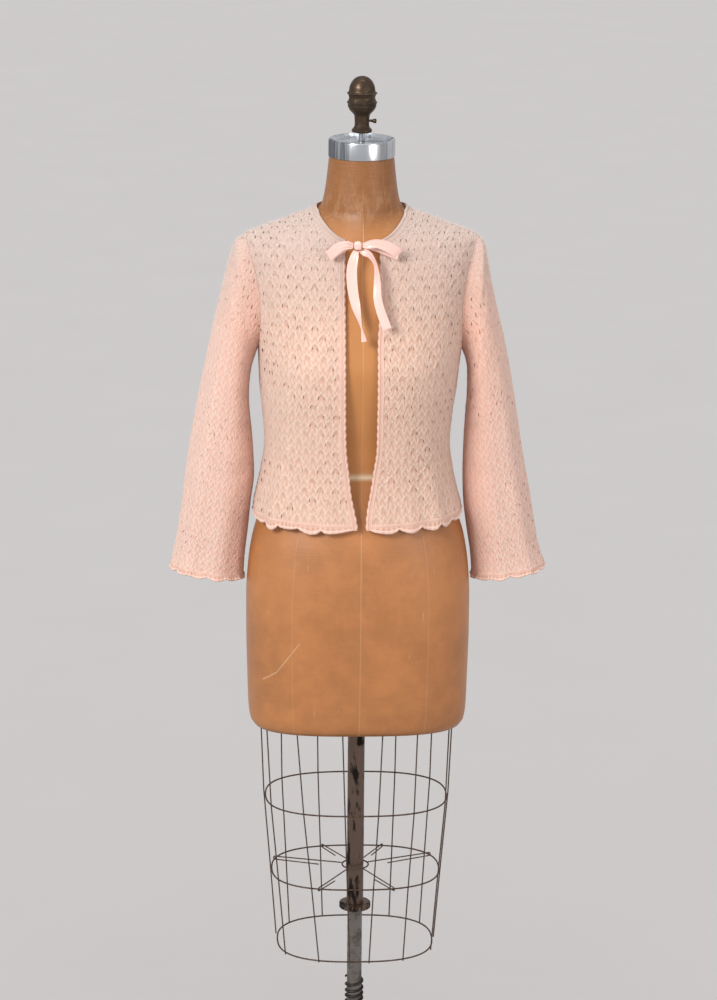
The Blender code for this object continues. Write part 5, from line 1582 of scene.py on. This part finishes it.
class JACKET_OT_panels(bpy.types.Operator):
    """Knit the two fronts and the back"""
    bl_idname = "bed_jacket.panels"
    bl_label = "Fronts and back"

    def execute(self, context):
        build_panel("back", False, 0, 11)
        build_panel("front_left", True, 1, 23)
        build_panel("front_right", True, -1, 37)
        return {"FINISHED"}


class JACKET_OT_sleeves(bpy.types.Operator):
    """Knit the two sleeves"""
    bl_idname = "bed_jacket.sleeves"
    bl_label = "Sleeves"

    def execute(self, context):
        for side in (1, -1):
            build_sleeve(side)
        return {"FINISHED"}


class JACKET_OT_edgings(bpy.types.Operator):
    """Crochet the hem, cuff, front and neck edgings"""
    bl_idname = "bed_jacket.edgings"
    bl_label = "Edgings"

    def execute(self, context):
        build_hem()
        build_neck()
        for side in (1, -1):
            build_front_edge(side)
            build_cuff(side)
        return {"FINISHED"}


class JACKET_OT_bow(bpy.types.Operator):
    """Tie the satin ribbon's bow"""
    bl_idname = "bed_jacket.bow"
    bl_label = "Satin bow"

    def execute(self, context):
        for node, table in BOW.items():
            build_ribbon(node, table)
        build_knot()
        return {"FINISHED"}


class JACKET_OT_nap(bpy.types.Operator):
    """Raise the mohair's loose hairs"""
    bl_idname = "bed_jacket.nap"
    bl_label = "Mohair nap"

    def execute(self, context):
        build_nap()
        return {"FINISHED"}


class JACKET_OT_form(bpy.types.Operator):
    """Cover the dress form in canvas"""
    bl_idname = "bed_jacket.form"
    bl_label = "Canvas form"

    def execute(self, context):
        build_form()
        return {"FINISHED"}


class JACKET_OT_metal(bpy.types.Operator):
    """Make the neck cap, finial, cage and pole"""
    bl_idname = "bed_jacket.metal"
    bl_label = "Metal parts"

    def execute(self, context):
        build_neck_metal()
        build_cage()
        build_pole()
        return {"FINISHED"}


OPERATORS = (JACKET_OT_stage, JACKET_OT_panels, JACKET_OT_sleeves, JACKET_OT_edgings,
             JACKET_OT_bow, JACKET_OT_nap, JACKET_OT_form, JACKET_OT_metal)


class JACKET_PT_panel(bpy.types.Panel):
    """The steps that build the jacket and its form"""
    bl_idname = "JACKET_PT_panel"
    bl_label = "Bed jacket"
    bl_space_type = "VIEW_3D"
    bl_region_type = "UI"
    bl_category = "Bed jacket"

    def draw(self, context):
        for group in (knit(), colours(), context.scene.jacket_stage):
            for name in group.bl_rna.properties.keys():
                if name not in ("rna_type", "name"):
                    self.layout.prop(group, name)
        for operator in OPERATORS:
            self.layout.operator(operator.bl_idname)


GROUPS = {"jacket_knit": KnitSize, "jacket_colours": Colours, "jacket_stage": StageSize}
CLASSES = (*GROUPS.values(), *OPERATORS, JACKET_PT_panel)


def register():
    for cls in CLASSES:
        bpy.utils.register_class(cls)
    for name, group in GROUPS.items():
        setattr(bpy.types.Scene, name, PointerProperty(type=group))


def unregister():
    for name in GROUPS:
        delattr(bpy.types.Scene, name)
    for cls in reversed(CLASSES):
        bpy.utils.unregister_class(cls)


def main():
    register()
    bpy.ops.bed_jacket.stage()
    bpy.ops.bed_jacket.panels()
    bpy.ops.bed_jacket.sleeves()
    bpy.ops.bed_jacket.edgings()
    bpy.ops.bed_jacket.bow()
    bpy.ops.bed_jacket.nap()
    bpy.ops.bed_jacket.form()
    bpy.ops.bed_jacket.metal()


if __name__ == "__main__":
    main()
